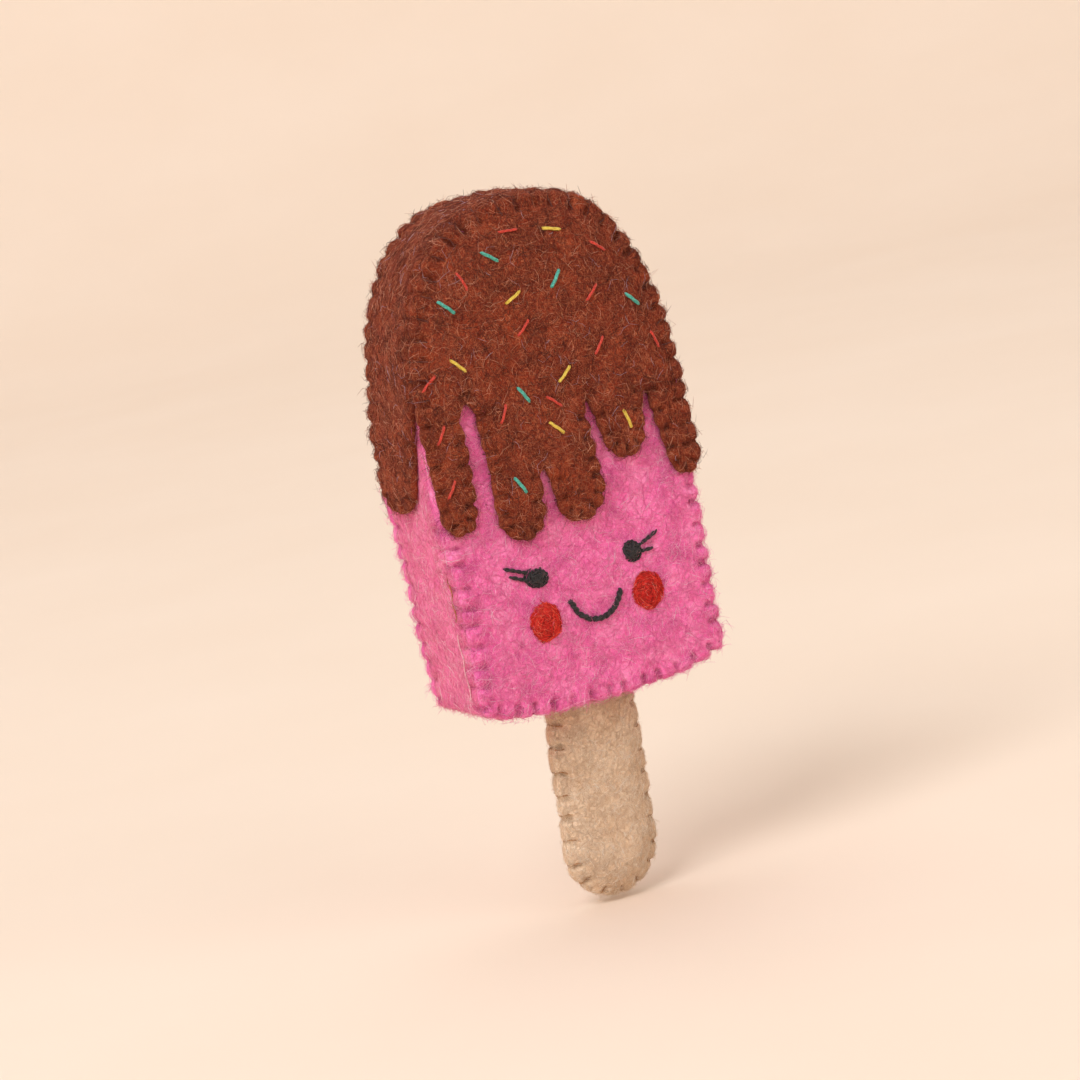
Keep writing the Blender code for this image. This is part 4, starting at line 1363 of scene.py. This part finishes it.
# %% The nap of one felt
def nap(name, source, per_mm2, length, thickness, seed, material, slot, swirl=None, stand=0.12, rise=0.1):
    """Fibres over the outside of a felt: most lie on it, and a share of them stands off it."""
    luck = np.random.default_rng(seed)
    mesh, through = felts[source][0].data, felts[source][1]
    mesh.calc_loop_triangles()
    points = np.array([v.co for v in mesh.vertices]) / MM
    normals = np.array([v.vector for v in mesh.vertex_normals])
    tris = np.array([t.vertices for t in mesh.loop_triangles])
    tris = tris[through[tris].mean(1) > 0.55]
    sides = points[tris]
    areas = np.linalg.norm(np.cross(sides[:, 1] - sides[:, 0], sides[:, 2] - sides[:, 0]), axis=1) / 2
    count = int(areas.sum() * per_mm2)
    chosen = luck.choice(len(tris), count, p=areas / areas.sum())
    weights = luck.dirichlet((1, 1, 1), count)
    root = (sides[chosen] * weights[:, :, None]).sum(1)
    normal = (normals[tris[chosen]] * weights[:, :, None]).sum(1)
    normal /= np.linalg.norm(normal, axis=1)[:, None]
    starts = root + normal * 0.12
    free = [all_felt.ray_cast(Vector(p), Vector(n), 5.0)[0] is None for p, n in zip(starts, normal)]
    root, normal = root[free], normal[free]
    count = len(root)
    way = luck.normal(size=(count, 3))
    if swirl is not None:
        way = way * 0.5 + np.cross(normal, root - swirl) / 2.0
    way -= (way * normal).sum(1)[:, None] * normal
    way /= np.linalg.norm(way, axis=1)[:, None]
    side = np.cross(normal, way)
    stands = luck.random(count) < stand
    long = length * luck.uniform(0.55, 1.35, count)
    share = fibre_share[None, :]
    bend = luck.normal(0, 0.2, count)[:, None] * long[:, None] * np.sin(np.pi * share)
    wave = luck.normal(0, 0.1, count)[:, None] * long[:, None]
    bend += wave * np.sin(2 * np.pi * share + luck.uniform(0, 6, count)[:, None])
    lying = -0.02 + rise * luck.uniform(0.3, 1.2, count)[:, None] * np.sin(np.pi * share)
    standing = -0.1 + long[:, None] * 0.34 * share ** 1.3 * luck.uniform(0.4, 1.0, count)[:, None]
    height = np.where(stands[:, None], standing, lying)
    reach = np.where(stands, 0.7, 1.0)[:, None] * long[:, None] * (share - np.where(stands, 0.0, 0.5)[:, None])
    centre = root[:, None, :] + reach[:, :, None] * way[:, None, :]
    centre = centre + bend[:, :, None] * side[:, None, :] + height[:, :, None] * normal[:, None, :]
    centre[:, :, 2] = np.maximum(centre[:, :, 2], 0.15)  # none goes through the floor
    cloud = np.array([noise.noise(Vector(p) / 5.0) for p in root])
    shade = np.clip(0.48 + 0.15 * cloud + luck.normal(0, 0.26, count), 0, 1)
    shade = np.where(luck.random(count) < 0.012, 1.0, np.minimum(shade, 0.93))
    thicknesses = thickness * luck.uniform(0.7, 1.3, count)
    made = fibre_mesh(name, centre, side, normal, thicknesses, shade, material)
    print(f"{name}: {count} fibres, {len(made.data.polygons)} faces")


# %% [markdown]
# One wool fibre is matt and nearly one colour, and it is the mix of shades that makes the cloth
# lively. Each colour runs from a deep tone to a pale one, and one fibre in eighty is nearly white.

# %% Fibre material
FIBRE_STOPS = (0.0, 0.45, 0.8, 0.93, 1.0)


def fibre_material(name, *tones):
    """Single wool fibres: each takes its tone from its own shade."""
    wool = {"Roughness": 0.8, "Specular IOR Level": 0.2, "Sheen Weight": 0.06}
    made, tree, shader = new_material(name, wool)
    shade = add_node(tree, "ShaderNodeAttribute", {"attribute_name": "shade"})
    tone = add_node(tree, "ShaderNodeValToRGB", links={"Fac": shade.outputs["Fac"]})
    colour_stops(tone, list(zip(FIBRE_STOPS, tones)))
    tree.links.new(tone.outputs["Color"], shader.inputs["Base Color"])
    return made


pink_wool = fibre_material("pink_wool_fibres", "#DC5A9E", "#F880BA", "#FFB0D4", "#FFCCE2", "#FFF0F6")
salmon_wool = fibre_material("pink_wool_fibres_side", "#D86490", "#F088AC", "#FBB0C8", "#FFD0DC", "#FFF0F4")
brown_wool = fibre_material("chocolate_wool_fibres", "#2A0C06", "#7C2C1A", "#C06A48", "#DE9C7E", "#C4A4B0")
beige_wool = fibre_material("beige_wool_fibres", "#D0AE8C", "#ECD4BA", "#FAEBD8", "#FFF6EA", "#FFFAF4")
red_wool = fibre_material("red_wool_fibres", "#8C140F", "#E22A20", "#F85444", "#F88068", "#FAA090")
print("wools:", pink_wool.name, salmon_wool.name, brown_wool.name, beige_wool.name, red_wool.name)

# %% [markdown]
# Each felt gets its own nap: the pink one is long and soft, the brown one is hairier and darker,
# and the beige one is short and dense.

# %% Sow the fibres
NAPS = (  # piece, felt under it, fibres per mm2, length, thickness, seed, wool, slot, share that stands
    ("pink_front_nap", "pink_front", 3.6, 4.0, 0.075, 101, pink_wool, "pink_felt", 0.12),
    ("pink_back_nap", "pink_back", 3.0, 4.0, 0.075, 102, pink_wool, "pink_felt", 0.12),
    ("pink_side_nap", "pink_side_strip", 3.6, 3.4, 0.075, 103, salmon_wool, "pink_felt", 0.12),
    ("pink_bottom_nap", "pink_bottom_strip", 3.0, 3.0, 0.075, 104, salmon_wool, "pink_felt", 0.12),
    ("chocolate_front_nap", "chocolate_front_felt", 2.9, 3.2, 0.08, 105, brown_wool, "chocolate_felt", 0.14),
    ("chocolate_back_nap", "chocolate_back_felt", 2.8, 3.2, 0.08, 106, brown_wool, "chocolate_felt", 0.14),
    ("chocolate_strip_nap", "chocolate_strip_felt", 2.9, 3.2, 0.08, 107, brown_wool, "chocolate_felt", 0.14),
    ("stick_front_nap", "stick_front_felt", 6.5, 2.4, 0.07, 108, beige_wool, "beige_felt", 0.12),
    ("stick_back_nap", "stick_back_felt", 5.5, 2.4, 0.07, 109, beige_wool, "beige_felt", 0.12),
)
for *facts, stand in NAPS:
    nap(*facts, stand=stand)
for word, seed in (("left", 110), ("right", 111)):
    cheek, middle = f"{word}_cheek_wool", np.mean(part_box(f"{word}_cheek"), axis=0) / MM
    nap(f"{word}_cheek_nap", cheek, 10.0, 2.2, 0.13, seed, red_wool, "red_wool", swirl=middle, rise=0.15)

# %% [markdown]
# Two loose threads lie on the front left seam, where the maker changed colours. They are part
# of how the toy looks, so they are here, each lying along the ridge.

# %% Stray threads
stray_brown = floss_material("orange_brown_thread", "#9C5132", "#C97F52", 0.6)
stray_pink = floss_material("pale_pink_thread", "#E0A0AE", "#F4C9CF", 0.6)
for name, material, slot, top, bottom, y in (
    ("stray_brown_thread", stray_brown, "beige_thread", 77.6, 67.8, -8.4),
    ("stray_pink_thread", stray_pink, "pink_thread", 65.8, 51.5, -7.6),
):
    route = []
    for i, z in enumerate(np.linspace(top, bottom, 9)):
        route.append(on_felt((-31.0, y + 0.5 * math.sin(i * 1.7), z), 0.16))
    stray = twisted(name, [route], SEAM_THREAD, material, step=0.4, lay=1.8)
    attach(stray, "root")
    print(f"{name}: {top - bottom:.1f} mm long")

# %% Measure the size and finish
low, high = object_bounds()
